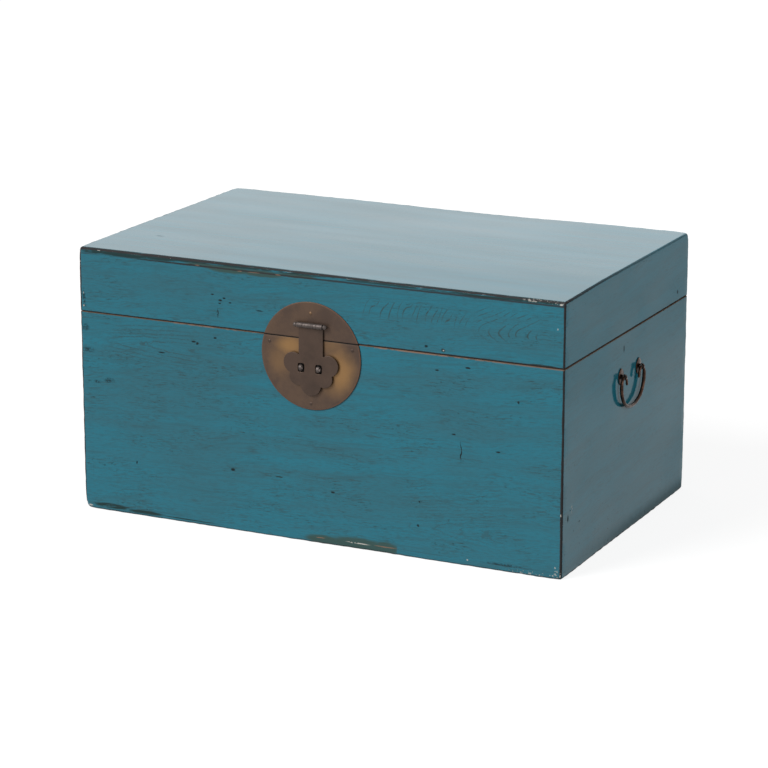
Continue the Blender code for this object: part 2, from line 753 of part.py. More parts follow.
def hang_lid():
    """Parent everything that lifts to an empty on the hinges' axis."""
    hinge = bpy.data.objects.new("lid_hinge_axis", None)
    hinge.location = (0, BACK + FIT + HINGE_KNUCKLE_RADIUS + LEAF_BITE, SEAM)
    PARTS.objects.link(hinge)
    bpy.context.view_layer.update()
    stays = ("lower", "bottom", "staple", "bail", "handle", "board", "hinge_pin")
    for piece in PARTS.objects:
        if piece is not hinge and not any(word in piece.name for word in stays):
            piece.parent = hinge
            piece.matrix_parent_inverse = hinge.matrix_world.inverted()


make_case()
make_lid()
make_lock_plates()
make_hasp()
make_handles()
make_hinges()
for drilled_name, shapes in DRILLED.items():
    combine(bpy.data.objects[drilled_name], shapes)
hang_lid()
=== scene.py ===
"""Looks of a lacquered elm trunk, laid out as a Blender add-on and run as a script.

Metres, +Z up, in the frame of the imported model: the front faces -Y, the length runs along X
and the origin is the middle of the underside. Every piece is a surface worked out with numpy
that stands for one node of the model, and rides on that node's body.
"""

import json
import math
from types import SimpleNamespace

import bmesh
import bpy
import numpy as np
from bpy.props import FloatProperty, FloatVectorProperty, IntProperty, PointerProperty
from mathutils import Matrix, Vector
from mathutils.geometry import tessellate_polygon


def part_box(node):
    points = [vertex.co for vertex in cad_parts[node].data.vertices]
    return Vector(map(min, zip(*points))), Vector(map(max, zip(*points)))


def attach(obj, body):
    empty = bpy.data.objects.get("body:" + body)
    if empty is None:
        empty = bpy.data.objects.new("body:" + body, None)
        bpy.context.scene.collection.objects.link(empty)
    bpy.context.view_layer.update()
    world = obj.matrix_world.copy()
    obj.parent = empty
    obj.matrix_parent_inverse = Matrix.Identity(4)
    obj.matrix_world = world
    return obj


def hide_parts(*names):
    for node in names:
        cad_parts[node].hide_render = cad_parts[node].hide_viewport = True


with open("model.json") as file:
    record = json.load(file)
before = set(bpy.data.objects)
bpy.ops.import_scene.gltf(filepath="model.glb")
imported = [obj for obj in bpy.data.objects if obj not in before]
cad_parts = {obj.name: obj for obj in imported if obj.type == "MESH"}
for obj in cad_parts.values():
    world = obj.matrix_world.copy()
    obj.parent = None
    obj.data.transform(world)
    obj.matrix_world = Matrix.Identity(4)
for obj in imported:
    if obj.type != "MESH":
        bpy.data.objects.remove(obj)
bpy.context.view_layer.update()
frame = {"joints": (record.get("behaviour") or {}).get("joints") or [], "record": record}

bl_info = {
    "name": "Lacquered elm trunk",
    "version": (1, 0, 0),
    "blender": (4, 5, 0),
    "location": "3D View > Sidebar > Trunk",
    "description": "Boards, lock, handles and hinges of a lacquered elm trunk, and its stage",
    "category": "Object",
}


def corners(node):
    """Lowest and highest corner of a node of the frame."""
    return tuple(np.array(corner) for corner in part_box(node))


# Faces and levels of the trunk, from the frame
BODIES = frame["record"]["behaviour"]["bodies"]
BODY_OF = {node: body for body, nodes in BODIES.items() for node in nodes}
AXES = {joint["name"]: np.array(joint["pos_m"]) for joint in frame["joints"]}
END, _, CASE_TOP = corners("front_board")[1]
FRONT = corners("front_board")[0][1]
BACK = corners("back_board")[1][1]
BOARD = corners("front_board")[1][1] - FRONT
TOP = corners("lid_top_plank_front")[1][2]
TOP_JOINT = corners("lid_top_plank_front")[0][2]
FLOOR_JOINT = corners("bottom_plank_front")[1][2]
SEAM = (CASE_TOP + corners("lid_front_rail")[0][2]) / 2

UP = np.array((0.0, 0.0, 1.0))
TO_FRONT = np.array((0.0, -1.0, 0.0))
TO_BACK = np.array((0.0, 1.0, 0.0))
TO_LEFT = np.array((-1.0, 0.0, 0.0))
TO_RIGHT = np.array((1.0, 0.0, 0.0))
ALONG_X = np.array((UP, TO_BACK, TO_LEFT))

# Spots where the trunk's edges are worn rounder: place, spread, extra radius
WORN_SPOTS = (
    ((-END, FRONT, 0.0), 0.013, 0.0050),
    ((-END, FRONT, TOP), 0.016, 0.0022),
    ((END, FRONT, TOP), 0.010, 0.0012),
    ((END, FRONT, 0.0), 0.012, 0.0022),
    ((END, BACK, TOP), 0.014, 0.0034),
    ((-END, BACK, TOP), 0.014, 0.0020),
    ((END, BACK, 0.0), 0.012, 0.0016),
    ((-END, BACK, 0.0), 0.012, 0.0020),
    ((0.075, FRONT, 0.0), 0.030, 0.0012),
    ((0.118, FRONT, 0.0), 0.022, 0.0014),
    ((-0.30, FRONT, TOP), 0.060, 0.0008),
    ((0.345, FRONT, TOP), 0.030, 0.0009),
)

# Where the lid's top has sunk: each smooth step's start and end, along x and y
FRONT_SAG_X = (-0.30, 0.36)
FRONT_SAG_Y = (FRONT + 0.17, FRONT - 0.02)
BACK_SAG_LEFT = (-0.22, 0.05)
BACK_SAG_RIGHT = (0.27, 0.09)
BACK_SAG_Y = (0.05, BACK)

# Grain drawn out along the boards: each noise's length, width and detail
DRAWN_OUT = {
    "streak": (0.080, 0.0035, 2.0),
    "fibre": (0.018, 0.0015, 2.0),
    "fine": (0.009, 0.0011, 1.0),
    "pore": (0.0075, 0.0020, 1.0),
    "band": (0.30, 0.020, 2.0),
    "cluster": (0.075, 0.022, 3.0),
}
# Noise that doesn't follow the grain: cycles a metre along each axis, and detail
CLOUDY = {
    "cloud": ((7, 7, 9), 3.0),
    "bend": ((45, 45, 14), 1.0),
    "patchy": ((34, 34, 55), 2.0),
    "fleck": ((330, 330, 330), 2.0),
}
# Noise that breaks up edges and marks: the same, and its roughness
RAGGED = ((85, 85, 85), 4.0, 0.65)
# How far the grain climbs along a board
GRAIN_LEAN = 0.05

# Flat-sawn figure on the front. Areas: low x, high x, low z, high z, softness along x and z
LID_BOW_AREA = (0.080, 0.250, 0.360, 0.384, 0.020, 0.008)
LID_EYE_AREA = (0.262, 0.362, 0.346, 0.393, 0.008, 0.010)
CASE_ARCH_AREA = (-0.350, -0.190, 0.244, 0.307, 0.03, 0.012)
FOOT_ARCH_AREA = (0.140, 0.330, 0.030, 0.120, 0.05, 0.02)
# Bow: middle z, spread of its arms, roundness, pitch, and the x from which its rings close up
LID_BOW = (0.357, 1.7, 0.050, 0.0165)
LID_BOW_CLOSES = 0.08
# Arches: tip's x and z, roundness, pitch along x and along z
LID_EYE = (0.268, 0.358, 0.012, 0.0140, 0.0064)
CASE_ARCH = (-0.350, 0.274, 0.010, 0.060, 0.0052)
FOOT_ARCH = (0.120, 0.052, 0.012, 0.040, 0.0046)

# Smooth steps of the wear, each a start and an end in metres.
# Strips along the seam, by height above it
SEAM_DARK = (0.0020, 0.0011)
SEAM_DARK_FOOT = (-0.0004, 0.0002)
SEAM_BROWN = (0.0018, 0.0010)
SEAM_BROWN_TOP = (0.0003, -0.0002)
LIP_TOP = (-0.0003, -0.0008)
LIP_FOOT = (-0.0028, -0.0019)
# Faces that only show with the lid up, by height from the seam and depth in the board
HIDDEN_SEAM = (0.0009, 0.0006)
HIDDEN_DEPTH = (0.0012, 0.0024)
# Lines on the joints under the top and over the floor, by distance from the joint
TOP_LINE = (0.0018, 0.0008)
FLOOR_LINE = (0.0012, 0.0004)
# Stain along the front's top edge, by depth below it
TOP_STAIN = (0.0066, 0.0040)
# Foot of the trunk, and stain on the foot of its ends, by height
FOOT = (0.006, 0.003)
END_FOOT = (0.030, 0.002)
# Ends' top edges, by distance from the edge
END_TOP = (0.009, 0.005)
# Where the thin lacquer at the front's foot breaks off, along x
THIN_BREAK = (0.1385, 0.1365)
# How far from each face a point still counts as on it
ON_END = (0.004, 0.002)
ON_SIDE = (0.007, 0.004)
ON_TOP = (0.005, 0.002)
# How far before a board's inner face the bare wood starts
INSIDE = (0.0009, 0.0003)
CROSSING = 0.0003

# Marks on the front, each with its x, z, half length and half height
PITS = (
    (-0.168, 0.365, 0.0030, 0.0013),
    (-0.155, 0.357, 0.0034, 0.0018),
    (-0.148, 0.361, 0.0030, 0.0014),
    (-0.138, 0.355, 0.0026, 0.0012),
    (-0.157, 0.352, 0.0032, 0.0012),
    (-0.088, 0.348, 0.0065, 0.0010),
    (-0.160, 0.337, 0.0009, 0.0080),
    (-0.202, 0.288, 0.0038, 0.0016),
    (-0.196, 0.286, 0.0024, 0.0024),
    (-0.165, 0.298, 0.0030, 0.0016),
    (-0.258, 0.265, 0.0065, 0.0012),
    (-0.306, 0.085, 0.0013, 0.0028),
    (-0.137, 0.096, 0.0045, 0.0024),
    (0.184, 0.325, 0.0026, 0.0022),
    (0.211, 0.322, 0.0036, 0.0030),
    (0.250, 0.300, 0.0045, 0.0017),
    (0.201, 0.291, 0.0034, 0.0013),
    (0.329, 0.258, 0.0022, 0.0024),
    (0.240, 0.173, 0.0009, 0.0170),
    (0.229, 0.198, 0.0036, 0.0014),
    (0.299, 0.180, 0.0034, 0.0015),
    (0.032, 0.083, 0.0038, 0.0016),
    (0.174, 0.088, 0.0020, 0.0018),
    (0.172, 0.051, 0.0024, 0.0026),
)
SMUDGES = (
    (-0.391, 0.291, 0.0060, 0.0060),
    (-0.388, 0.255, 0.0100, 0.0040),
    (-0.352, 0.210, 0.0085, 0.0040),
    (-0.372, 0.206, 0.0060, 0.0030),
    (-0.392, 0.335, 0.0030, 0.0160),
    (0.310, 0.0105, 0.034, 0.0020),
)
DARK_STROKES = (
    (-0.376, 0.4112, 0.026, 0.0044),
    (-0.318, 0.4102, 0.052, 0.0046),
    (-0.262, 0.4108, 0.045, 0.0036),
    (-0.205, 0.4118, 0.055, 0.0024),
    (-0.115, 0.4120, 0.070, 0.0024),
    (-0.235, 0.4064, 0.080, 0.0012),
    (0.346, 0.4104, 0.062, 0.0036),
    (0.262, 0.4124, 0.062, 0.0020),
    (0.278, 0.4080, 0.050, 0.0016),
    (0.180, 0.4125, 0.050, 0.0020),
    (0.366, 0.3172, 0.024, 0.0013),
    (-0.352, 0.0085, 0.034, 0.0042),
    (-0.292, 0.0062, 0.034, 0.0032),
    (-0.020, 0.4122, 0.060, 0.0026),
    (-0.215, 0.0055, 0.050, 0.0010),
    (-0.058, 0.0950, 0.006, 0.0012),
)
OLIVE_STROKES = (
    (-0.185, 0.4076, 0.030, 0.0030),
    (-0.140, 0.4052, 0.040, 0.0052),
    (-0.085, 0.4048, 0.036, 0.0050),
    (-0.028, 0.4072, 0.034, 0.0030),
    (0.015, 0.0070, 0.030, 0.0070),
    (0.075, 0.0070, 0.050, 0.0115),
    (0.118, 0.0075, 0.022, 0.0110),
)
RAW_STROKES = (
    (0.118, 0.0100, 0.019, 0.0009),
    (0.010, 0.0090, 0.007, 0.0008),
    (-0.057, 0.4060, 0.005, 0.0009),
    (-0.122, 0.4048, 0.004, 0.0007),
    (-0.194, 0.4067, 0.004, 0.0008),
    (-0.098, 0.4052, 0.010, 0.0006),
)
# Pale marks on the front: chips, and painted glints where light catches worn corners, edges and a pit
PALE_CHIPS_AND_GLINTS = (
    (0.073, 0.0095, 0.020, 0.0010),
    (-0.364, 0.4125, 0.0030, 0.0006),
    (-0.391, 0.0050, 0.0040, 0.0018),
    (-0.3935, 0.324, 0.0010, 0.0015),
    (-0.3928, 0.344, 0.0008, 0.0015),
    (0.2114, 0.3218, 0.0015, 0.0013),
    (0.252, 0.0098, 0.0016, 0.0012),
    (0.390, 0.0180, 0.0011, 0.0016),
    (0.387, 0.0055, 0.0014, 0.0011),
    (0.398, 0.0060, 0.0013, 0.0020),
    (0.398, 0.0980, 0.0010, 0.0022),
    (0.3885, 0.373, 0.0010, 0.0016),
    (0.393, 0.4085, 0.0034, 0.0012),
)
# Pale specks: chips, and painted glints along worn corners
SPECK_CHIPS_AND_GLINTS = (
    (0.368, 0.4108, 0.032, 0.0030),
    (0.352, 0.0045, 0.036, 0.0030),
    (0.394, 0.0100, 0.005, 0.0090),
)

# Marks on the ends: y, z, half length, half height
END_PITS = (
    (-0.019, 0.2915, 0.0022, 0.0062),
    (-0.228, 0.0875, 0.0030, 0.0060),
    (0.205, 0.3300, 0.0030, 0.0035),
)
END_SCUFFS = ((-0.2138, 0.0985, 0.0042, 0.0085),)

# Dent on the top: x, y, half length, half width
TOP_DENT = (-0.326, -0.131, 0.0090, 0.0028)

# Brass rubbed bare on the lock plate, bright and faint: x, z, half length, half height
BRIGHT_SPOTS = (
    (-0.0390, 0.3015, 0.029, 0.018),
    (0.0465, 0.2700, 0.027, 0.042),
)
FAINT_SPOTS = (
    (-0.0560, 0.2800, 0.020, 0.032),
    (0.0340, 0.2440, 0.030, 0.020),
    (0.0300, 0.3080, 0.030, 0.014),
)


def linear(red, green, blue):
    """Linear light of a colour given in sRGB bytes, by the sRGB curve."""
    part = np.array((red, green, blue)) / 255
    return tuple(np.where(part <= 0.04045, part / 12.92, ((part + 0.055) / 1.055) ** 2.4))


def size(name, description, default):
    """Property that holds one length."""
    return FloatProperty(name=name, description=description, default=default, unit="LENGTH", precision=5)


def share(name, description, default):
    """Property that holds a plain number."""
    return FloatProperty(name=name, description=description, default=default)


def turn(name, description, degrees):
    """Property that holds an angle."""
    return FloatProperty(name=name, description=description, default=math.radians(degrees), subtype="ANGLE")


def paint(name, description, *srgb):
    """Property that holds a colour, written in sRGB bytes."""
    return FloatVectorProperty(name=name, description=description, default=linear(*srgb), subtype="COLOR")


def lobe_size(name, default):
    """Property that holds one lobe of the hasp: centre across, centre below the axis, radius."""
    words = "Lobe's centre across, its centre below the hasp's axis, and its radius"
    return FloatVectorProperty(name=name, description=words, default=default, unit="LENGTH", precision=5)


class TrunkWood(bpy.types.PropertyGroup):
    """Sizes of the boards' edges and surfaces."""

    edge_radius: size("Edge radius", "Rounding of the trunk's outer edges", 0.003)
    seam_radius: size("Seam radius", "Rounding of the edges along the seam", 0.0009)
    edge_unevenness: share("Edge unevenness", "How much the rounding varies along an edge", 0.30)
    chip_length: size("Chip length", "Usual length of a chip along an edge", 0.016)
    joint_gap: size("Joint gap", "Gap that shows between two boards", 0.00004)
    rubbed_width: size("Rubbed width", "Least width of the rubbed strip along an edge", 0.0017)
    rubbed_softness: size("Rubbed softness", "How softly the rubbed strip ends", 0.0008)
    hollow: size("Hollow", "How far the boards' faces swell and sink", 0.00016)
    hollow_length: size("Hollow length", "Usual distance between two hollows", 0.090)
    hollow_pace: share("Hollow pace", "Pace of the hollows along a board, as a share of that across it", 0.3)
    front_sag: size("Front sag", "How far the top is worn down at its front right", 0.0025)
    back_sag: size("Back sag", "How far the top is worn down in the middle of its back", 0.0018)
    long_step: size("Long step", "Grid step along a board", 0.0030)
    short_step: size("Short step", "Grid step across a board", 0.0060)
    case_fingers: IntProperty(name="Case fingers", description="Fingers in a corner of the case", default=7)
    lid_fingers: IntProperty(name="Lid fingers", description="Fingers in a corner of the lid", default=3)


class TrunkLock(bpy.types.PropertyGroup):
    """Sizes of the lock plate, the hasp and their pins."""

    rim: size("Rim", "Rounding of a metal plate's rim", 0.0005)
    plate_ripple: size("Plate ripple", "Unevenness of the hammered lock plate", 0.00012)
    ripple_length: size("Ripple length", "Usual distance between two hammer marks", 0.022)
    leaf_thickness: size("Leaf thickness", "Thickness of the hasp's sheet", 0.0015)
    leaf_set_back: size("Leaf set-back", "Hasp's axis back to the rear of its sheet", 0.0039)
    tilt: turn("Tilt", "How far the hasp hangs out from the plate", 0.8)
    strap_width: size("Strap width", "Width of the hasp's strap", 0.040)
    upper_lobe: lobe_size("Upper lobe", (0.0291, 0.0592, 0.0160))
    lower_lobe: lobe_size("Lower lobe", (0.0217, 0.0792, 0.0138))
    tip_lobe: lobe_size("Tip lobe", (0.0, 0.0905, 0.0168))
    tip_point: size("Tip point", "How far the tip is drawn out", 0.0008)
    hole_width: size("Hole width", "Width of the hasp's slot for a staple", 0.0105)
    hole_height: size("Hole height", "Height of the hasp's slot for a staple", 0.0135)
    hole_squareness: share("Hole squareness", "Power of the slot's superellipse", 0.4)
    knuckle_radius: size("Knuckle radius", "Radius of the hasp's rolled knuckle", 0.004)
    knuckle_length: size("Knuckle length", "Length of the hasp's rolled knuckle", 0.042)
    knuckle_bore: size("Knuckle bore", "Radius of the knuckle's bore", 0.0025)
    knuckle_rim: size("Knuckle rim", "Rounding of the knuckle's rims", 0.0002)
    knuckle_room: size("Knuckle room", "Gap between the knuckle and an eye", 0.00012)
    pin_radius: size("Pin radius", "Radius of the hasp's pin", 0.0022)
    ball_radius: size("Ball radius", "Radius of the pin's ball ends", 0.0036)
    staple_height: size("Staple height", "Height of a staple's eye", 0.0095)
    staple_strip: size("Staple strip", "Thickness of a staple's strip", 0.0012)
    nail_head: size("Nail head", "Radius of a nail's head", 0.0025)
    nail_dome: size("Nail dome", "Height of a nail's head", 0.0008)
    nail_seat: size("Nail seat", "Plate's face to the top of a nail's box", 0.0019)
    nail_shank: size("Nail shank", "Radius of a nail's shank", 0.0010)
    nail_point: size("Nail point", "Length of a nail's point", 0.003)


class TrunkHandles(bpy.types.PropertyGroup):
    """Sizes of the drop handles and the hinges."""

    eye_spacing: size("Eye spacing", "Between the two eyes of a handle", 0.0715)
    eye_radius: size("Eye radius", "Outer radius of a handle's eye", 0.0043)
    eye_strip: size("Eye strip", "Thickness of an eye's strip", 0.0014)
    bail_drop: size("Bail drop", "Handle's axis to the middle of its grip", 0.0515)
    bail_bulge: size("Bail bulge", "How far the handle swells beyond its eyes", 0.0103)
    bail_tail: size("Bail tail", "How far a tail reaches in from its eye", 0.0113)
    bail_tail_drop: size("Bail tail drop", "How far a tail hangs down", 0.0135)
    grip_radius: size("Grip radius", "Radius of the handle's grip", 0.00275)
    crook_radius: size("Crook radius", "Radius of the handle in its eyes", 0.0022)
    tip_radius: size("Tip radius", "Radius of the handle's tails", 0.0019)
    rosette_dome: size("Rosette dome", "How far a rosette's middle swells", 0.0010)
    hinge_knuckles: IntProperty(name="Hinge knuckles", description="Knuckles along a hinge", default=5)
    hinge_knuckle_radius: size("Hinge knuckle radius", "Outer radius of a hinge's knuckles", 0.004)
    hinge_bore: size("Hinge bore", "Radius of a hinge's bore", 0.0023)
    hinge_rim: size("Hinge rim", "Rounding of the knuckles' rims", 0.0003)
    hinge_gap: size("Hinge gap", "Gap between two knuckles", 0.0003)
    hinge_sheet: size("Hinge sheet", "Thickness of a hinge's leaf", 0.0015)
    hinge_corner: size("Hinge corner", "Rounding of a leaf's corners", 0.002)
    hinge_pin_radius: size("Hinge pin radius", "Radius of a hinge's pin", 0.002)
    hinge_cap_radius: size("Hinge cap radius", "Radius of a hinge pin's head", 0.0034)
    hinge_cap_height: size("Hinge cap height", "Height of a hinge pin's head", 0.0016)


class TrunkColours(bpy.types.PropertyGroup):
    """Colours of the finishes."""

    lacquer: paint("Lacquer", "Teal lacquer", 30, 110, 128)
    lacquer_dull: paint("Dull lacquer", "Greyer bands in the lacquer", 39, 102, 117)
    grain_line: paint("Grain line", "Grain that shows through the lacquer", 44, 62, 62)
    undercoat: paint("Undercoat", "Dark undercoat where the lacquer is rubbed through", 55, 54, 55)
    olive: paint("Olive", "Lacquer rubbed thin over the undercoat", 60, 78, 70)
    stain: paint("Stain", "Dark stain under the rubbed lacquer of the front", 43, 58, 56)
    pit: paint("Pit", "Dirt in the pits of the wood", 38, 38, 36)
    seam_wood: paint("Seam wood", "Brown edges along the seam", 92, 76, 64)
    raw_wood: paint("Raw wood", "Wood where an edge is chipped", 142, 110, 91)
    # Pale colour of chips, also used for painted glints on worn corners and edges
    chip: paint("Chip", "Pale fresh chips", 190, 186, 178)
    elm: paint("Bare elm", "Bare wood inside", 150, 112, 76)
    elm_dark: paint("Dark elm", "Darker rings of the bare wood", 104, 72, 46)
    patina: paint("Patina", "Brown patina of the lock plate", 87, 69, 56)
    patina_dark: paint("Dark patina", "Darker clouds in the patina", 72, 58, 50)
    hasp: paint("Hasp", "Brown patina of the hasp", 74, 59, 50)
    hasp_dark: paint("Dark hasp", "Darker clouds on the hasp and the nails", 60, 48, 41)
    # Painted shade: near black behind the hasp's slots and in the lock plate's seam
    gap_shade: paint("Grime", "Grime in the seam of the plate and behind the hasp's slots", 10, 8, 7)
    brass: paint("Brass", "Brass that the hasp has rubbed bare", 135, 103, 66)
    steel: paint("Steel", "Grey steel of the pin and staples", 86, 79, 76)
    copper: paint("Copper", "Coppery rim of the lock plate", 112, 76, 58)
    iron: paint("Iron", "Dark iron of the handles", 68, 49, 40)
    iron_dark: paint("Dark iron", "Darker clouds in the iron", 36, 27, 23)


class TrunkStage(bpy.types.PropertyGroup):
    """The camera's place, the floor and the lights."""

    azimuth: turn("Azimuth", "Camera's turn to the right of the front", 25.90)
    elevation: turn("Elevation", "Camera's height above the horizon", 15.33)
    distance: size("Distance", "Camera to its target", 4.647)
    lens: FloatProperty(name="Lens", description="Focal length in millimetres", default=138.5)
    aim_across: size("Aim across", "Target right of the origin, in the picture's plane", -0.0048)
    aim_up: size("Aim up", "Target above the origin, in the picture's plane", 0.1782)
    sensor: FloatProperty(name="Sensor", description="Camera's width of film in millimetres", default=36.0)
    reach: size("Reach", "How far the camera sees", 100.0)
    floor_radius: size("Floor radius", "Radius of the floor", 14.0)
    floor_drop: size("Floor drop", "How far the floor lies below the trunk", 0.0002)
    floor_grey: share("Floor grey", "How much light the floor throws back", 0.20)
    floor_white: share("Floor white", "Light that makes the floor look white", 0.86)
    sky: share("Sky", "Even light from all round", 0.30)
    key: share("Key", "Strength of the key light", 3.36)
    key_softness: turn("Key softness", "How wide the key light is", 32)
    key_azimuth: turn("Key azimuth", "Key light's turn to the right of the front", -36)
    key_elevation: turn("Key elevation", "Key light's height above the horizon", 36)
    fill: share("Fill", "Power of the light on the right", 18.5)
    fill_size: size("Fill size", "Width and height of the light on the right", 1.0)
    fill_distance: size("Fill distance", "Trunk to the light on the right", 3.0)
    fill_azimuth: turn("Fill azimuth", "Right light's turn to the right of the front", 75)
    fill_elevation: turn("Fill elevation", "Right light's height above the horizon", 25)
    back: share("Back", "Power of the light behind the trunk", 9.0)
    back_distance: size("Back distance", "Trunk to the light behind it", 3.2)
    back_elevation: turn("Back elevation", "Back light's height above the horizon", 24)
    back_width: size("Back width", "Width of the light behind the trunk", 4.5)
    back_height: size("Back height", "Height of the light behind the trunk", 2.4)


# Shapes

WELD = 1e-7
TINY = 1e-9


def waves(points, length, seed, count=14):
    """Smooth unevenness from about -1 to 1: cosine waves of about one length, seeded and added up."""
    draw = np.random.default_rng(seed)
    heading = draw.normal(size=(count, 3))
    heading /= np.linalg.norm(heading, axis=1, keepdims=True)
    pace = math.tau / (length * draw.uniform(0.7, 1.6, count))
    phase = draw.uniform(0, math.tau, count)
    return np.cos(points @ (heading * pace[:, None]).T + phase).sum(axis=-1) / math.sqrt(2 * count)


def wall_axes(outward):
    """Directions across and up a wall, seen from outside, and out of it."""
    across = TO_RIGHT if abs(outward[2]) > 0.5 else np.cross(UP, outward)
    return np.array((across, np.cross(outward, across), outward))


def placed(points, origin, axes):
    """Points given across, up and out of a wall, moved to the trunk."""
    return np.asarray(origin) + points @ axes


def sweep(rings, start_cap=True, end_cap=True, closed=False):
    """Shell over rings of points: quads join each ring to the next, and a flat face closes each end.

    The array is (step along the path, step round the profile, xyz), and a profile turns
    anticlockwise seen from the path's far end. A closed path joins its last ring to its first.
    """
    steps, sides, _ = rings.shape
    index = np.arange(steps * sides).reshape(steps, sides)
    path = np.vstack((index, index[:1])) if closed else index
    beside = np.roll(path, -1, axis=1)
    faces = np.stack((path[:-1], beside[:-1], beside[1:], path[1:]), axis=-1).reshape(-1, 4).tolist()
    if start_cap and not closed:
        faces.append(index[0, ::-1].tolist())
    if end_cap and not closed:
        faces.append(index[-1].tolist())
    return rings.reshape(-1, 3), faces


def lathe(profile, sides=32):
    """Shell turned about the third axis: each (radius, height), from below, is carried round a circle."""
    profile = np.asarray(profile)
    angle = np.arange(sides) * math.tau / sides
    radius = profile[:, :1]
    height = np.broadcast_to(profile[:, 1:], (len(profile), sides))
    return sweep(np.stack((radius * np.cos(angle), radius * np.sin(angle), height), axis=-1))


def arc(centre, radius, start, end, steps):
    """Points on an arc between two angles, both ends included."""
    angle = np.linspace(start, end, steps + 1)
    return np.stack((centre[0] + radius * np.cos(angle), centre[1] + radius * np.sin(angle)), axis=-1)


def rounded_box(half_width, half_height, radius, steps=4):
    """Closed outline of a rectangle with round corners, anticlockwise: a quarter circle at each corner."""
    quarter = math.pi / 2
    arcs = []
    for count, (side, rise) in enumerate(((1, 1), (-1, 1), (-1, -1), (1, -1))):
        centre = (side * (half_width - radius), rise * (half_height - radius))
        arcs.append(arc(centre, radius, count * quarter, (count + 1) * quarter, steps))
    return np.concatenate(arcs)


def smooth_path(points, steps):
    """Curve through rows of any width: a cubic between each pair, with the slope of their neighbours."""
    points = np.asarray(points, dtype=float)
    slope = np.gradient(points, axis=0)
    share_along = (np.arange(steps) / steps)[:, None, None]
    start, end, leave, reach = points[:-1], points[1:], slope[:-1], slope[1:]
    cube, square = share_along**3, share_along**2
    spans = (
        (2 * cube - 3 * square + 1) * start
        + (cube - 2 * square + share_along) * leave
        + (3 * square - 2 * cube) * end
        + (cube - square) * reach
    )
    return np.concatenate((spans.transpose(1, 0, 2).reshape(-1, points.shape[1]), points[-1:]))


def strip_along(path, profile, scale=None):
    """Profile carried along a flat path: each ring is the profile, scaled, square to the path.

    The path lies in the first two axes. The profile's first axis points to the path's right
    and its second along the third axis.
    """
    heading = np.gradient(path, axis=0)
    heading /= np.linalg.norm(heading, axis=1, keepdims=True)
    right = np.stack((heading[:, 1], -heading[:, 0]), axis=-1)
    scale = np.ones(len(path)) if scale is None else scale
    sideways = profile[None, :, :1] * scale[:, None, None] * right[:, None, :]
    rise = np.broadcast_to(profile[None, :, 1:] * scale[:, None, None], (*sideways.shape[:2], 1))
    return np.concatenate((path[:, None, :] + sideways, rise), axis=-1)


def plate_shell(outlines, thickness, rim):
    """Flat plate: a rounded rim carried round each outline, closed in front and behind by flat faces.

    The first outline is the edge, anticlockwise, and the others are holes, clockwise. Each rim
    ring is the outline moved in along its normal by a quarter circle's inset.
    """
    quarter = np.linspace(0, math.pi / 2, 4)
    inset = np.append(1.8 * rim, rim * (1 - np.sin(quarter)))
    height = np.append(0.0, rim * (1 - np.cos(quarter)))
    profile = np.concatenate(
        (np.stack((inset, height), axis=-1), np.stack((inset[::-1], thickness - height[::-1]), axis=-1))
    )
    points, faces, fronts, backs, count = [], [], [], [], 0
    for outline in outlines:
        ahead = np.roll(outline, -1, axis=0) - np.roll(outline, 1, axis=0)
        ahead /= np.linalg.norm(ahead, axis=1, keepdims=True)
        inward = np.stack((-ahead[:, 1], ahead[:, 0]), axis=-1)
        flat = outline + profile[:, None, :1] * inward
        rings = np.concatenate((flat, np.broadcast_to(profile[:, None, 1:], (*flat.shape[:2], 1))), axis=-1)
        ring_points, ring_faces = sweep(rings, start_cap=False, end_cap=False)
        points.append(ring_points)
        faces += [[corner + count for corner in face] for face in ring_faces]
        backs.append(np.arange(len(outline)) + count)
        fronts.append(backs[-1] + len(ring_points) - len(outline))
        count += len(ring_points)
    points = np.concatenate(points)
    for loops, facing in ((fronts, 1), (backs, -1)):
        index = np.concatenate(loops)
        triangles = tessellate_polygon([[Vector(points[corner]) for corner in loop] for loop in loops])
        for triangle in triangles:
            first, second, third = points[index[list(triangle)], :2]
            turned = np.cross(second - first, third - first)
            faces.append(index[list(triangle)[:: 1 if turned * facing > 0 else -1]].tolist())
    return points, faces


def polar_plate(outline, centre, profile):
    """Plate on a polar grid: each point of the outline is drawn towards the centre by the profile.

    The profile's rows are the inset from the edge, the share of the way left to the centre,
    and the height out of the wall, from the back of the rim to the middle of the face.
    """
    profile = np.asarray(profile)
    spoke = outline - centre
    reach = np.linalg.norm(spoke, axis=1)[None, :, None]
    inset, left, height = (profile[:, column, None, None] for column in range(3))
    flat = centre + spoke * left * (1 - inset / reach)
    rings = np.concatenate((flat, np.broadcast_to(height, (*flat.shape[:2], 1))), axis=-1)
    return sweep(rings, end_cap=False)


def plate_profile(thickness, rim, dome=0.0, rings=14):
    """Profile of a polar plate: a straight side, a quarter-circle rim, and a face swelled by a parabola."""
    quarter = np.linspace(0, math.pi / 2, 5)
    side = [(0.0, 1.0, 0.0)]
    edge = [(rim * (1 - math.cos(a)), 1.0, thickness - rim * (1 - math.sin(a))) for a in quarter]
    face = [(rim, left, thickness + dome * (1 - left**2)) for left in np.linspace(1, 0, rings)[1:]]
    return side + edge + face


def tube(length, outer, bore, rim, sides=40):
    """Short tube along the first axis: a rounded wall section carried round a circle."""
    section = rounded_box(length / 2, (outer - bore) / 2, rim, 3)[::-1]
    angle = (np.arange(sides) * math.tau / sides)[:, None]
    radius = section[None, :, 1] + (outer + bore) / 2
    along = np.broadcast_to(section[None, :, 0], radius.repeat(sides, axis=0).shape)
    rings = np.stack((along, radius * np.cos(angle), radius * np.sin(angle)), axis=-1)
    return sweep(rings, closed=True)


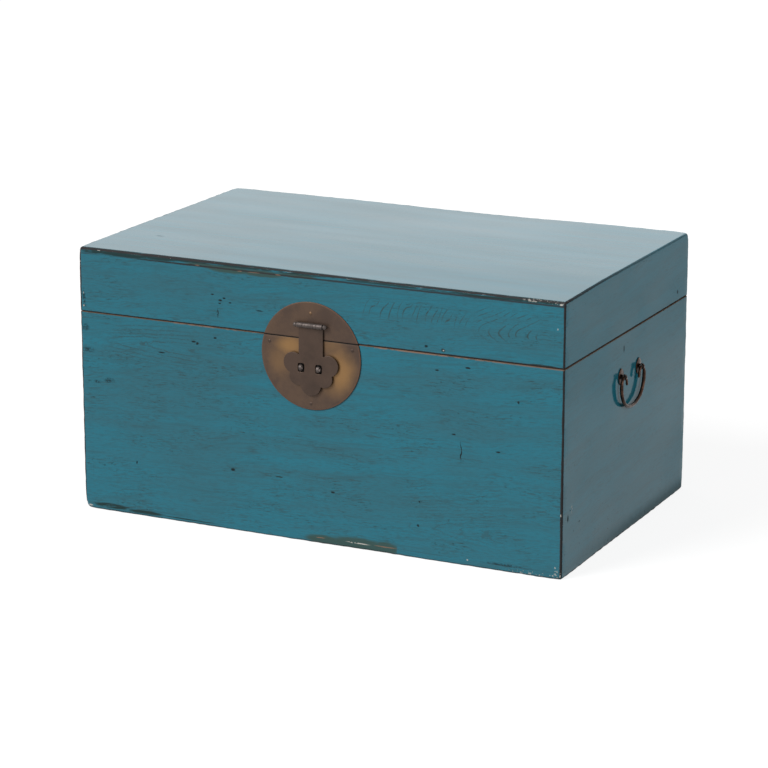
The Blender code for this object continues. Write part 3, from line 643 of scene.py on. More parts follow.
def split_pin(half_depth, half_height, strip, width, wall, leg):
    """Split pin in its own plane: out of the wall, up the wall, and along its strip's width.

    One strip is carried along a leg, a shank, round the eye's ellipse, and back along the
    other shank and leg. The wall's inner face lies that far inside the eye's middle.
    """
    middle = strip / 2
    depth, height = half_depth - middle, half_height - middle
    root = math.asin(min(1.0, middle / height))
    angle = np.linspace(root, math.tau - root, 48)
    eye = np.stack((-depth * np.cos(angle), height * np.sin(angle)), axis=-1)
    bend = strip * 1.2
    turn_over = arc((-wall + bend - middle, middle + bend), bend, -math.pi / 2, -math.pi, 6)
    straight = np.linspace(turn_over[0], eye[0], 6)[1:-1]
    tip = np.linspace(turn_over[-1], (turn_over[-1, 0], leg), 5)[1:]
    upper = np.concatenate((tip[::-1], turn_over[::-1], straight))
    path = np.concatenate((upper, eye, (upper * (1, -1))[::-1]))
    profile = rounded_box(middle, width / 2, strip * 0.3, 3)
    return sweep(strip_along(path, profile)[::-1])


def joined(shells):
    """Points and faces of several shells as one list each."""
    points, faces, count = [], [], 0
    for shell_points, shell_faces in shells:
        points.append(shell_points)
        faces += [[corner + count for corner in face] for face in shell_faces]
        count += len(shell_points)
    return np.concatenate(points), faces


def add_piece(node, shells, material, slot, name=None, replaces=True, sharp=40):
    """Make one piece from its shells, weld its poles, and let it stand for a node on its body."""
    points, faces = joined(shells)
    name = name or f"{node}_{slot}"
    mesh = bpy.data.meshes.new(name)
    mesh.from_pydata(points.tolist(), [], faces)
    work = bmesh.new()
    work.from_mesh(mesh)
    bmesh.ops.remove_doubles(work, verts=work.verts, dist=WELD)
    bmesh.ops.dissolve_degenerate(work, edges=work.edges, dist=WELD / 10)
    work.to_mesh(mesh)
    work.free()
    mesh.shade_smooth()
    mesh.set_sharp_from_angle(angle=math.radians(sharp))
    mesh.materials.append(material)
    piece = bpy.data.objects.new(name, mesh)
    bpy.context.scene.collection.objects.link(piece)
    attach(piece, BODY_OF[node])
    if replaces:
        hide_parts(node)
    return piece


# Boards

# Distances of the grid's lines from a board's edge, close together where the edge is round
EDGE_LINES = np.array((0, 0.1, 0.35, 0.8, 1.4, 2.2, 3.2, 4.5, 6.5, 9.0, 12.5)) / 1000
NEAR = 1e-4
JOINT_REACH = 5e-4


def grid_lines(length, step, cuts=()):
    """Places of the grid's lines along one side: close at both ends, even between, and at each cut."""
    edge = EDGE_LINES[EDGE_LINES < length / 2]
    count = max(1, round((length - 2 * edge[-1]) / step))
    middle = np.linspace(edge[-1], length - edge[-1], count + 1)
    lines = np.concatenate((edge, middle[1:-1], length - edge))
    clear = [line for line in lines if all(abs(line - cut) > NEAR / 2 for cut in cuts)]
    return np.unique(np.concatenate((clear, cuts)).round(7))


def edge_radius(points, wood):
    """Rounding of the trunk at points along one edge of a board.

    On an outer edge of the trunk it is the plain radius, uneven by waves, plus a bell curve
    round each worn spot. Along the seam it is the seam's radius, and elsewhere none.
    """
    middle = points[len(points) // 2]
    faces = abs(abs(middle) - (END, BACK, TOP)) < NEAR
    outside = faces.sum() + (abs(middle[2]) < NEAR)
    rough = 1 + wood.edge_unevenness * waves(points, wood.chip_length, seed=5)
    if outside >= 2:
        radius = wood.edge_radius * rough
        for place, spread, extra in WORN_SPOTS:
            radius = radius + extra * np.exp(-((np.linalg.norm(points - place, axis=1) / spread) ** 2))
        return radius
    if abs(middle[2] - SEAM) < 2 * wood.seam_radius:
        return wood.seam_radius * rough
    return np.zeros(len(points))


def smooth_step(value, start, end):
    """Smooth step from 0 at start to 1 at end, for an array or a shader's socket."""
    if isinstance(value, Shade):
        return value.step(start, end)
    share_along = np.clip((value - start) / (end - start), 0, 1)
    return share_along**2 * (3 - 2 * share_along)


def lid_sag(x, y, wood):
    """How far the lid's top lies below its full height: products of smooth steps along x and y."""
    front = smooth_step(x, *FRONT_SAG_X) * smooth_step(y, *FRONT_SAG_Y)
    back = smooth_step(x, *BACK_SAG_LEFT) * smooth_step(x, *BACK_SAG_RIGHT) * smooth_step(y, *BACK_SAG_Y)
    return front * wood.front_sag + back * wood.back_sag


def slab(corner, axes, across, up, thickness, kept, wood):
    """Board on a grid of lines across and up its outer face, with a flat back and walls round its cells.

    Near a round edge a point's share of the way into the rounding, across and up, is mapped
    from a square to a disc, and the face falls back by one minus the disc's circle there,
    times the radius. Elsewhere the face swells and sinks by waves drawn out along the board,
    but one that stands on the floor only sinks, and the lid's top sags.
    """
    flat_u, flat_v = np.meshgrid(across, up, indexing="ij")
    length, height = across[-1], up[-1]

    def line(places, fixed, along):
        local = np.zeros((len(places), 3))
        local[:, along] = places
        local[:, 1 - along] = fixed
        return edge_radius(placed(local, corner, axes), wood)

    def shares(places, span, low_radius, high_radius):
        low = np.clip(1 - places / np.maximum(low_radius, TINY), 0, 1)
        high = np.clip(1 - (span - places) / np.maximum(high_radius, TINY), 0, 1)
        return high - low, np.where(high > low, high_radius, low_radius)

    left, right = line(up, 0.0, 1), line(up, length, 1)
    bottom, top = line(across, 0.0, 0), line(across, height, 0)
    share_u, radius_u = shares(flat_u, length, left[None, :], right[None, :])
    share_v, radius_v = shares(flat_v, height, bottom[:, None], top[:, None])
    disc_u = share_u * np.sqrt(1 - share_v**2 / 2)
    disc_v = share_v * np.sqrt(1 - share_u**2 / 2)
    weight = share_u**2 + share_v**2
    radius = (radius_u * share_u**2 + radius_v * share_v**2) / np.maximum(weight, TINY)
    fall = radius * (1 - np.sqrt(np.clip(1 - disc_u**2 - disc_v**2, 0, 1)))
    plan_u = flat_u + (disc_u - share_u) * radius_u
    plan_v = flat_v + (disc_v - share_v) * radius_v
    rim = np.minimum(np.minimum(flat_u, length - flat_u), np.minimum(flat_v, height - flat_v))
    fade = np.clip((rim - EDGE_LINES[-4]) / (2 * BOARD), 0, 1)
    flat = placed(np.stack((flat_u, flat_v, 0 * flat_u), axis=-1), corner, axes)
    drawn_out = flat * np.where(abs(axes[0]) > 0.5, wood.hollow_pace, 1.0)
    swell = wood.hollow * fade * waves(drawn_out, wood.hollow_length, seed=11)
    if axes[2][2] < -0.5:
        swell = -abs(swell)
    if axes[2][2] > 0.5:
        swell = swell - lid_sag(flat[..., 0], flat[..., 1], wood)
    front = placed(np.stack((plan_u, plan_v, swell - fall), axis=-1), corner, axes)
    back = placed(np.stack((plan_u, plan_v, 0 * plan_u - thickness), axis=-1), corner, axes)

    index = np.arange(flat_u.size).reshape(flat_u.shape)
    behind = index + index.size
    cells = np.stack((index[:-1, :-1], index[1:, :-1], index[1:, 1:], index[:-1, 1:]), axis=-1)
    quads = [cells[kept], (cells[kept] + index.size)[:, ::-1]]
    grown = np.pad(kept, 1)
    here, there = grown[:-1, 1:-1], grown[1:, 1:-1]
    low, high = index[:, :-1], index[:, 1:]
    wall = np.stack((high, low, behind[:, :-1], behind[:, 1:]), axis=-1)
    quads += [wall[here & ~there], wall[there & ~here][:, ::-1]]
    here, there = grown[1:-1, :-1], grown[1:-1, 1:]
    low, high = index[:-1, :], index[1:, :]
    wall = np.stack((low, high, behind[1:, :], behind[:-1, :]), axis=-1)
    quads += [wall[here & ~there], wall[there & ~here][:, ::-1]]
    quads = np.concatenate(quads)
    used, faces = np.unique(quads, return_inverse=True)
    points = np.concatenate((front.reshape(-1, 3), back.reshape(-1, 3)))[used]
    return points, faces.reshape(quads.shape).tolist()


def closed_up(node, gap):
    """Corners of a board, drawn out to its neighbours where lacquer has filled the joint."""
    low, high = corners(node)
    for joint, axis in ((TOP_JOINT, 2), (FLOOR_JOINT, 2), (0.0, 1)):
        if abs(high[axis] - joint) < JOINT_REACH:
            high[axis] = joint - gap / 2
        if abs(low[axis] - joint) < JOINT_REACH:
            low[axis] = joint + gap / 2
    return low, high


def board_shell(node, outward, wood, fingers=0, first=0):
    """Shell of a board: a slab over the node's box, with every other corner finger left out.

    Fingers count from the bottom, and the board keeps each second one from the first it holds.
    """
    axes = wall_axes(outward)
    gap = wood.joint_gap
    low, high = closed_up(node, gap)
    length, height, thickness = abs(axes @ (high - low))
    corner = (low + high) / 2 + placed(np.array((-length, -height, thickness)) / 2, 0, axes)
    shoulder = BOARD + gap
    levels = np.linspace(0, height, fingers + 1)[1:-1] if fingers else np.zeros(0)
    across = grid_lines(length, wood.long_step, (shoulder, length - shoulder) if fingers else ())
    up = grid_lines(height, wood.short_step, np.concatenate((levels - gap / 2, levels + gap / 2)))
    middle_u = (across[1:] + across[:-1])[:, None] / 2
    middle_v = (up[1:] + up[:-1])[None, :] / 2
    kept = np.ones((len(across) - 1, len(up) - 1), dtype=bool)
    if fingers:
        in_corner = (middle_u < shoulder) | (middle_u > length - shoulder)
        finger = np.searchsorted(levels, middle_v[0])[None, :]
        in_gap = (abs(middle_v[..., None] - levels) < gap / 2).any(axis=-1)
        kept = ~(in_corner & ((finger % 2 != first) | in_gap))
    return slab(corner, axes, across, up, thickness, kept, wood)


# Shader maths


COAT_IOR = 1.33
COAT_ROUGHNESS = 0.10


class Shade:
    """One socket of a material's nodes. Arithmetic on it adds Math or Vector Math nodes."""

    def __init__(self, tree, socket):
        self.tree = tree
        self.socket = socket

    def node(self, kind, settings=None, inputs=None, output=0):
        """Add any node: its type, its settings, then the values or links of its sockets."""
        made = self.tree.nodes.new(kind)
        for key, value in (settings or {}).items():
            setattr(made, key, value)
        for key, value in (inputs or {}).items():
            if isinstance(value, Shade):
                self.tree.links.new(value.socket, made.inputs[key])
            else:
                made.inputs[key].default_value = value
        return Shade(self.tree, made.outputs[output])

    def sum_of(self, operation, *values):
        """Math node on numbers, or Vector Math node where this socket is a vector."""
        if self.socket.type == "VECTOR":
            values = [(value,) * 3 if isinstance(value, (int, float)) else value for value in values]
            return self.node("ShaderNodeVectorMath", {"operation": operation}, dict(enumerate(values)))
        return self.node("ShaderNodeMath", {"operation": operation}, dict(enumerate(values)))

    def __add__(self, other):
        return self.sum_of("ADD", self, other)

    def __radd__(self, other):
        return self.sum_of("ADD", other, self)

    def __sub__(self, other):
        return self.sum_of("SUBTRACT", self, other)

    def __rsub__(self, other):
        return self.sum_of("SUBTRACT", other, self)

    def __mul__(self, other):
        return self.sum_of("MULTIPLY", self, other)

    def __rmul__(self, other):
        return self.sum_of("MULTIPLY", other, self)

    def __truediv__(self, other):
        return self.sum_of("DIVIDE", self, other)

    def __rtruediv__(self, other):
        return self.sum_of("DIVIDE", other, self)

    def __abs__(self):
        return self.sum_of("ABSOLUTE", self)

    def least(self, other):
        """The smaller of two values."""
        return self.sum_of("MINIMUM", self, other)

    def most(self, other):
        """The larger of two values."""
        return self.sum_of("MAXIMUM", self, other)

    def root(self):
        """Square root."""
        return self.sum_of("SQRT", self)

    def loop(self):
        """Part after the decimal point."""
        return self.sum_of("FRACT", self)

    def length(self):
        """Length of a vector."""
        return self.node("ShaderNodeVectorMath", {"operation": "LENGTH"}, {0: self}, output=1)

    def step(self, start, end):
        """Smooth step from 0 at start to 1 at end."""
        inputs = {0: self, 1: start, 2: end}
        return self.node("ShaderNodeMapRange", {"interpolation_type": "SMOOTHSTEP"}, inputs)

    def split(self):
        """The three parts of a vector."""
        made = self.node("ShaderNodeSeparateXYZ", None, {0: self}).socket.node
        return [Shade(self.tree, output) for output in made.outputs]

    def grain(self, pace, detail=2.0, rough=0.5):
        """Noise from 0 to 1 on a vector, with its own pace along each axis in cycles a metre."""
        inputs = {"Vector": self * tuple(pace), "Scale": 1.0, "Detail": detail, "Roughness": rough}
        return self.node("ShaderNodeTexNoise", None, inputs)

    def pick(self, first, second):
        """Colour between two others: the first at 0 and the second at 1."""
        colours = [colour if isinstance(colour, Shade) else (*colour, 1.0) for colour in (first, second)]
        inputs = {0: self, 6: colours[0], 7: colours[1]}
        return self.node("ShaderNodeMix", {"data_type": "RGBA", "clamp_factor": True}, inputs, output=2)

    def vector(self, x=0.0, y=0.0, z=0.0):
        """Vector made of three parts."""
        return self.node("ShaderNodeCombineXYZ", None, {0: x, 1: y, 2: z})


def new_finish(name):
    """Material whose shader waits for its inputs, and the Object coordinates that its patterns read."""
    material = bpy.data.materials.new(name)
    material.use_nodes = True
    tree = material.node_tree
    place = tree.nodes.new("ShaderNodeTexCoord")
    return material, Shade(tree, place.outputs["Object"])


def finish_with(
    material, colour, roughness, metallic=0.0, height=None, depth=0.0004, strength=0.5, coat=None
):
    """Link a finish's colour, roughness, metal, bump and coat of lacquer to its shader."""
    tree = material.node_tree
    shader = tree.nodes["Principled BSDF"]
    if height is not None:
        inputs = {"Strength": strength, "Distance": depth, "Height": height}
        bump = height.node("ShaderNodeBump", None, inputs)
        tree.links.new(bump.socket, shader.inputs["Normal"])
    values = {"Base Color": colour, "Roughness": roughness, "Metallic": metallic}
    if coat is not None:
        values |= {"Coat Weight": coat, "Coat IOR": COAT_IOR, "Coat Roughness": COAT_ROUGHNESS}
        values["Specular IOR Level"] = 0.0
    for key, value in values.items():
        if isinstance(value, Shade):
            tree.links.new(value.socket, shader.inputs[key])
        else:
            shader.inputs[key].default_value = value
    return material


def patch(x, z, low_x, high_x, low_z, high_z, soft_x, soft_z):
    """Soft-edged rectangle on the front: 1 inside and 0 outside."""
    wide = x.step(low_x - soft_x, low_x + soft_x) * x.step(high_x + soft_x, high_x - soft_x)
    return wide * z.step(low_z - soft_z, low_z + soft_z) * z.step(high_z + soft_z, high_z - soft_z)


def near_marks(place, marks, axes=(0, 2)):
    """Distance to the nearest mark as a share of its half sizes: the least length of scaled offsets."""
    nearest = None
    for mark in marks:
        scale, shift = [0.0] * 3, [0.0] * 3
        for axis, centre, half in zip(axes, mark[:2], mark[2:]):
            scale[axis] = 1 / half
            shift[axis] = -centre / half
        reach = place.sum_of("MULTIPLY_ADD", place, tuple(scale), tuple(shift)).length()
        nearest = reach if nearest is None else nearest.least(reach)
    return nearest


def ring_line(rings, width):
    """Thin lines where a ring count passes a whole number."""
    return abs(rings.loop() - 0.5).step(width, width * 0.35)


def arch(x, z, apex_x, apex_z, roundness, pitch_x, pitch_z, wander):
    """Ring count of a flat-sawn arch that points left: a hyperbola in z, less a steady fall along x."""
    rise = z - apex_z
    return (rise * rise + roundness**2).root() / pitch_z - (x - apex_x) / pitch_x + wander


def bow(x, z, apex_z, spread, roundness, pitch, wander):
    """Ring count of arcs that bow to the left: a hyperbola in z whose arms spread, repeated along x."""
    rise = (z - apex_z) * spread
    return ((rise * rise + roundness**2).root() - x) / pitch + wander


def trunk_faces(place):
    """Distances from a point to the trunk's faces and nearest edge, and 1 on each kind of face.

    The distance to an edge is the second least of the distances to the faces. Boards whose
    grain runs along Y count as across.
    """
    x, y, z = place.split()
    to_end = END - abs(x)
    to_side = BACK - abs(y)
    below_top = TOP - lid_sag(x, y, bpy.context.scene.trunk_wood) - z
    to_level = z.least(below_top)
    crosswise = (to_side - to_end).step(-CROSSING, CROSSING)
    plank = z.step(TOP_JOINT - 0.0004, TOP_JOINT - 0.0001)
    plank = plank.most(z.step(FLOOR_JOINT + 0.0004, FLOOR_JOINT + 0.0001))
    on_end = crosswise * to_end.step(*ON_END)
    deep = to_end.least(to_side)

    def past(distance, level):
        return distance.step(level - INSIDE[0], level - INSIDE[1])

    return SimpleNamespace(
        x=x,
        y=y,
        z=z,
        to_end=to_end,
        deep=deep,
        below_top=below_top,
        edge=deep.most(to_end.most(to_side).least(to_level)),
        on_end=on_end,
        on_side=abs(y).step(BACK - ON_SIDE[0], BACK - ON_SIDE[1]) * (1.0 - on_end),
        on_front=y.step(FRONT + ON_SIDE[0], FRONT + ON_SIDE[1]) * (1.0 - on_end),
        on_top=below_top.step(*ON_TOP),
        on_foot=z.step(*FOOT) * (1.0 - on_end * 0.8),
        across=on_end.most(crosswise * (1.0 - plank)),
        inside=past(deep, BOARD) * past(TOP - z, TOP - TOP_JOINT) * past(z, FLOOR_JOINT),
    )


def elm_grain(place, at):
    """Noise drawn out along the grain, which turns across the ends, and noise that doesn't follow it."""
    along = at.x + at.across * (at.y - at.x)
    flat = place.vector(along, at.y + at.across * (at.x - at.y), at.z)
    sway = flat.grain((6, 20, 20), 1.0) * 0.022
    leaning = flat + place.vector(z=sway - along * GRAIN_LEAN)
    drawn_out = {
        name: leaning.grain((1 / length, 1 / width, 1 / width), detail)
        for name, (length, width, detail) in DRAWN_OUT.items()
    }
    cloudy = {name: place.grain(*noise) for name, noise in CLOUDY.items()}
    return SimpleNamespace(along=along, **drawn_out, **cloudy, ragged=place.grain(*RAGGED) - 0.5)


def front_figure(at, grain):
    """Flat-sawn figure on the front, and where it stands in for the straight grain."""
    x, z = at.x, at.z
    slow = grain.cloud * 2.2 + grain.ragged * 0.16
    wander = grain.cloud * 2.0 + grain.band * 1.6 + grain.ragged * 0.6
    past = x - LID_BOW_CLOSES
    lid_rings = ring_line(bow(x + past * past * 3.0, z, *LID_BOW, slow + grain.bend * 2.2), 0.11)
    lid_rings = lid_rings * grain.patchy.step(0.26, 0.50)
    lid_area = patch(x, z, *LID_BOW_AREA)
    eye_rings = ring_line(arch(x, z, *LID_EYE, slow + grain.bend * 0.9), 0.13)
    eye_rings = eye_rings * (grain.patchy - (x - 0.29) * 1.6).step(0.32, 0.54)
    eye_area = patch(x, z, *LID_EYE_AREA)
    case_rings = ring_line(arch(x, z, *CASE_ARCH, wander), 0.15)
    case_area = patch(x, z, *CASE_ARCH_AREA)
    foot_rings = ring_line(arch(x, z, *FOOT_ARCH, wander * 1.6), 0.14)
    foot_area = patch(x, z, *FOOT_ARCH_AREA)
    broken = (grain.fleck + grain.cluster * 0.5).step(0.50, 0.80)
    figure = (lid_rings * lid_area * 0.85).most(eye_rings * eye_area * 0.75)
    figure = figure.most(case_rings * case_area * 0.62).most(foot_rings * foot_area * 0.45)
    return figure * broken * at.on_front, lid_area.most(eye_area) * at.on_front


def shown_grain(at, grain, loose):
    """Lines, pores and pits of the wood under the lacquer, fainter on the top and the ends."""
    figure, figured = front_figure(at, grain)
    hatch = grain.fibre.step(0.50, 0.68) * grain.cluster.step(0.33, 0.60) * (1.0 - figured * 0.7)
    plain = (1.0 - at.on_top * 0.85) * (1.0 - at.on_end * 0.55)
    lines = (grain.streak.step(0.50, 0.78) * 0.30).most(hatch * 0.52)
    lines = lines.most(grain.fine.step(0.46, 0.72) * 0.30).most(figure) * plain
    pores = grain.pore.step(0.60, 0.69) * grain.cluster.step(0.49, 0.63) * plain
    broken = (grain.fleck + grain.streak * 0.6).step(0.62, 0.95)
    smudges = near_marks(loose, SMUDGES).step(1.50, 0.30) * broken
    pits = near_marks(loose, PITS).step(1.20, 0.50).most(smudges * 0.8)
    end_pits = near_marks(loose, END_PITS, (1, 2)).step(1.30, 0.30) * 0.9
    end_pits = end_pits.most(grain.pore.step(0.70, 0.74) * grain.cloud.step(0.54, 0.62))
    dent = near_marks(loose, (TOP_DENT,), (0, 1)).step(1.2, 0.4) * 0.45
    return lines, pores, (pits * at.on_front).most(end_pits * at.on_end).most(dent * at.on_top)


def rubbed_edges(at, grain):
    """Edges rubbed through to the undercoat, and the lines on the joints of the top and the floor."""
    wood, ragged = bpy.context.scene.trunk_wood, grain.ragged
    left_edge = at.x.step(0.02 - END, 0.001 - END)
    width = grain.cloud.step(0.36, 0.66) * 0.0010 + left_edge * 0.0008 + wood.rubbed_width
    rubbed = (at.edge + ragged * 0.0022).step(width + wood.rubbed_softness, width)
    end_top = at.below_top.step(*END_TOP) * at.to_end.step(*END_TOP)
    end_top = end_top * at.y.step(FRONT + 0.004, FRONT + 0.040)
    rubbed = rubbed * (1.0 - end_top * (at.y.step(-0.20, 0.10) * 0.40 + 0.15)) * (1.0 - at.on_foot * 0.5)
    top_line = abs(at.z - TOP_JOINT + ragged * 0.0012).step(*TOP_LINE) * grain.band.step(0.26, 0.40)
    floor_line = abs(at.z - FLOOR_JOINT + ragged * 0.0014).step(*FLOOR_LINE) * grain.band.step(0.50, 0.62)
    return rubbed.most((top_line * 0.85).most(floor_line * 0.45) * at.on_side)


def seam_wear(at, grain):
    """Strips along the seam: a dark line above it, brown wood below, and a lip of raw wood."""
    x, above, uneven = at.x, at.z - SEAM, grain.ragged * 0.0012
    wider = x.step(0.0, 0.25) * 0.0006
    line = (above + uneven - wider).step(*SEAM_DARK) * above.step(*SEAM_DARK_FOOT)
    parted = (uneven - above).step(*SEAM_BROWN) * above.step(*SEAM_BROWN_TOP)
    parted = parted.most(abs(above).step(*HIDDEN_SEAM) * at.deep.step(*HIDDEN_DEPTH))
    lip = above.step(*LIP_TOP) * above.step(*LIP_FOOT)
    lip = lip * (grain.cloud + grain.ragged * 1.1 + x * 0.25).step(0.42, 0.62) * (0.72 - at.on_end * 0.47)
    lip = lip * (x.step(0.34, 0.14) * 0.45 + 0.55) * (x.step(-0.12, 0.02) * 0.3 + 0.7)
    return line, parted, lip


def front_wear(at, grain, loose):
    """Dark stain along the edges, lacquer worn thin, and raw wood, on the front and the ends' feet."""
    ragged, streak = grain.ragged, grain.streak
    dark = near_marks(loose, DARK_STROKES).step(1.15, 0.65)
    dark = dark * (streak * 0.6 + grain.fibre * 0.4 + ragged * 0.5).step(0.26, 0.46)
    worn = (streak + ragged * 0.6 - at.x * 0.25).step(0.26, 0.50)
    top_band = (at.below_top + ragged * 0.0026).step(*TOP_STAIN) * worn
    stained = dark.most(top_band * 0.9) * at.on_front * 0.92 * (1.0 - at.on_foot * 0.4)
    end_foot = (at.z + ragged * 0.010).step(*END_FOOT) * at.y.step(-0.24, 0.05) * at.on_end
    thin = near_marks(loose, OLIVE_STROKES).step(1.20, 0.70) * at.x.step(*THIN_BREAK) * at.on_front
    raw = near_marks(loose, RAW_STROKES).step(1.20, 0.60) * at.on_front * 0.66
    return stained.most(end_foot * 0.55), thin, raw


def pale_chips_and_glints(at, grain, loose, rubbed):
    """Pale chips on some of the rubbed edges, and marks and specks in their own places: partly chips, partly
    painted glints.
    """
    fleck = grain.fleck
    specks = near_marks(loose, SPECK_CHIPS_AND_GLINTS).step(1.15, 0.85) * fleck.step(0.58, 0.63) * 0.5
    pale = near_marks(loose, PALE_CHIPS_AND_GLINTS).step(1.20, 0.60) * fleck.step(0.36, 0.46) * 0.9
    scuffs = near_marks(loose, END_SCUFFS, (1, 2)).step(1.2, 0.3) * fleck.step(0.45, 0.60) * 0.5
    chips_and_glints = rubbed * fleck.step(0.70, 0.75) * grain.cloud.step(0.53, 0.63)
    return chips_and_glints.most(pale.most(specks) * at.on_front).most(scuffs * at.on_end)


def lacquer():
    """Teal lacquer over elm: grain and pits, edges rubbed through, wear, and bare wood inside."""
    name = "teal_lacquer"
    found = bpy.data.materials.get(name)
    if found:
        return found
    colours = bpy.context.scene.trunk_colours
    material, place = new_finish(name)
    at = trunk_faces(place)
    grain = elm_grain(place, at)
    cloud, ragged = grain.cloud, grain.ragged
    loose = place + place.vector(x=ragged * 0.0080, y=ragged * 0.0040, z=ragged * 0.0022)
    lines, pores, pits = shown_grain(at, grain, loose)
    seam_line, parted, lip = seam_wear(at, grain)
    rubbed = rubbed_edges(at, grain).most(seam_line)
    stained, thin, raw = front_wear(at, grain, loose)
    lip = lip.most(raw)
    chips_and_glints = pale_chips_and_glints(at, grain, loose, rubbed)

    colour = (grain.band * 0.6 + cloud * 0.4).step(0.36, 0.66).pick(colours.lacquer, colours.lacquer_dull)
    layers = (
        (lines, colours.grain_line),
        (pores * 0.55, colours.grain_line),
        (thin * 0.85, colours.olive),
        (stained, colours.stain),
        (pits * 0.9, colours.pit),
        (rubbed, colours.undercoat),
        (parted, colours.seam_wood),
        (lip, colours.raw_wood),
        # Pale chips, with painted glints among them
        (chips_and_glints, colours.chip),
        (at.inside, inner_elm(at, grain)),
    )
    for cover, tone in layers:
        colour = cover.pick(colour, tone)

    dull = rubbed
    for cover in (chips_and_glints, lip, parted, pits, stained, pores * 0.6, thin * 0.6, at.inside):
        dull = dull.most(cover)
    end_coat = at.z.step(0.32, 0.16) * 0.18 + (cloud - 0.5) * 0.3 + 0.52
    coat = (1.0 - dull) * (1.0 + at.on_end * (end_coat - 1.0))
    height = ragged * 0.02 - lines * 0.08 - pores * 0.15 - pits * 0.8 - rubbed * 0.4 - chips_and_glints * 0.5
    return finish_with(material, colour, dull * 0.3 + 0.5, height=height, coat=coat)


def inner_elm(at, grain):
    """Colour of the bare elm on the inside of the boards: fine streaks and wandering rings."""
    colours = bpy.context.scene.trunk_colours
    wander = grain.cloud * 2.0 + grain.band * 1.6 + grain.ragged * 0.6
    rings = ring_line((at.z - grain.along * GRAIN_LEAN) / 0.0105 + wander * 2.2, 0.10)
    return (grain.streak.step(0.35, 0.75) * 0.75).most(rings * 0.6).pick(colours.elm, colours.elm_dark)


def bare_elm():
    """Bare elm: brown rings and fine pores along Y."""
    colours = bpy.context.scene.trunk_colours
    material, place = new_finish("brown_elm")
    x, _, z = place.split()
    streak = place.grain((420, 16, 420), 3.0)
    cloud = place.grain((40, 5, 40), 2.0)
    rings = ring_line((x + z) / 0.008 + cloud * 3.0, 0.16)
    dark = streak.step(0.42, 0.72).most(rings * 0.8)
    colour = dark.pick(colours.elm, colours.elm_dark)
    height = 0.0 - dark * 0.6
    return finish_with(material, colour, dark * 0.12 + 0.55, height=height, depth=0.0003)


def patina(name, light, dark, rubbed=False):
    """Brown patina on brass: clouds between two tones, fine scratches, and a lock plate's own wear.

    The plate is rubbed bare round the hasp and coppery at its rim, and painted near black along
    its seam and behind the hasp's slots, as shade in those gaps.
    """
    found = bpy.data.materials.get(name)
    if found:
        return found
    colours = bpy.context.scene.trunk_colours
    material, place = new_finish(name)
    z = place.split()[2]
    cloud = place.grain((30, 30, 30), 3.0, 0.55)
    speck = place.grain((700, 700, 700), 2.0)
    scratch = (place + place.vector(x=z * 0.35)).grain((1500, 1500, 60), 1.0)
    tone = (cloud + (speck - 0.5) * 0.25).step(0.30, 0.72)
    colour = tone.pick(light, dark)
    bright = scratch.step(0.70, 0.80) * 0.10
    if rubbed:
        centre, radius = plate_circle()
        rim = near_marks(place, ((*centre, radius, radius),)).step(0.970, 0.992)
        colour = (rim * cloud.step(0.35, 0.65) * 0.42).pick(colour, colours.copper)
        uneven = (cloud - 0.5) * 0.6
        spots = (near_marks(place, BRIGHT_SPOTS) + uneven).step(1.25, 0.10)
        faint = (near_marks(place, FAINT_SPOTS) + uneven).step(1.25, 0.10) * 0.38
        bright = bright.most(spots.most(faint) * z.step(SEAM + 0.0010, SEAM - 0.0004))
    colour = bright.pick(colour, colours.brass)
    if rubbed:
        # Painted shade: near black behind the hasp's slots and along the plate's seam
        slots = near_marks(place, slot_marks()).step(1.05, 0.85)
        gap_shade = slots.most(abs(z - SEAM).step(0.0012, 0.0007))
        colour = gap_shade.pick(colour, colours.gap_shade)
    roughness = tone * 0.08 + 0.44 - bright * 0.06
    height = cloud * 0.5 + speck * 0.10 - scratch.step(0.70, 0.80) * 0.08
    return finish_with(material, colour, roughness, 0.72, height, depth=0.0005, strength=0.3)


def slot_marks():
    """Marks as large as the hasp's slots, behind them on the lock plate, where shade is painted."""
    lock = bpy.context.scene.trunk_lock
    middles = [sum(corners(f"lock_staple_{side}")) / 2 for side in ("left", "right")]
    return [(middle[0], middle[2], lock.hole_width * 0.6, lock.hole_height * 0.6) for middle in middles]


def aged_brass(kind):
    """Patina of the plate, the hasp, the nails and hinges, or a nail whose head is painted lighter as a
    highlight.
    """
    colours = bpy.context.scene.trunk_colours
    # Painted highlight: the upper nail's head is mixed part way to bare brass for the light on its dome
    nail_highlight = tuple(0.35 * bare + 0.65 * aged for bare, aged in zip(colours.brass, colours.patina))
    tones = {
        "plate": (colours.patina, colours.patina_dark),
        "hasp": (colours.hasp, colours.hasp_dark),
        "nail": (colours.patina_dark, colours.hasp_dark),
        "bright": (nail_highlight, colours.patina),
    }
    return patina(f"{kind}_patina", *tones[kind], rubbed=kind == "plate")


def dark_metal(name, light, dark, roughness, pitting):
    """Worn plain metal: clouds between a light and a dark tone, with fine pitting."""
    found = bpy.data.materials.get(name)
    if found:
        return found
    material, place = new_finish(name)
    cloud = place.grain((120, 120, 120), 4.0, 0.6)
    speck = place.grain((900, 900, 900), 2.0)
    tone = (cloud + (speck - 0.5) * 0.5).step(0.36, 0.66)
    colour = tone.pick(light, dark)
    height = speck * 0.3 + cloud
    rough = tone * 0.16 + roughness
    return finish_with(material, colour, rough, 1.0, height, depth=0.0003, strength=pitting)


def steel():
    """Grey steel of the pin and staples."""
    colours = bpy.context.scene.trunk_colours
    dark = tuple(0.8 * part for part in colours.steel)
    return dark_metal("worn_steel", tuple(colours.steel), dark, 0.52, 0.12)


def iron():
    """Dark iron of the handles."""
    colours = bpy.context.scene.trunk_colours
    return dark_metal("worn_iron", tuple(colours.iron), tuple(colours.iron_dark), 0.27, 0.4)


# Pieces


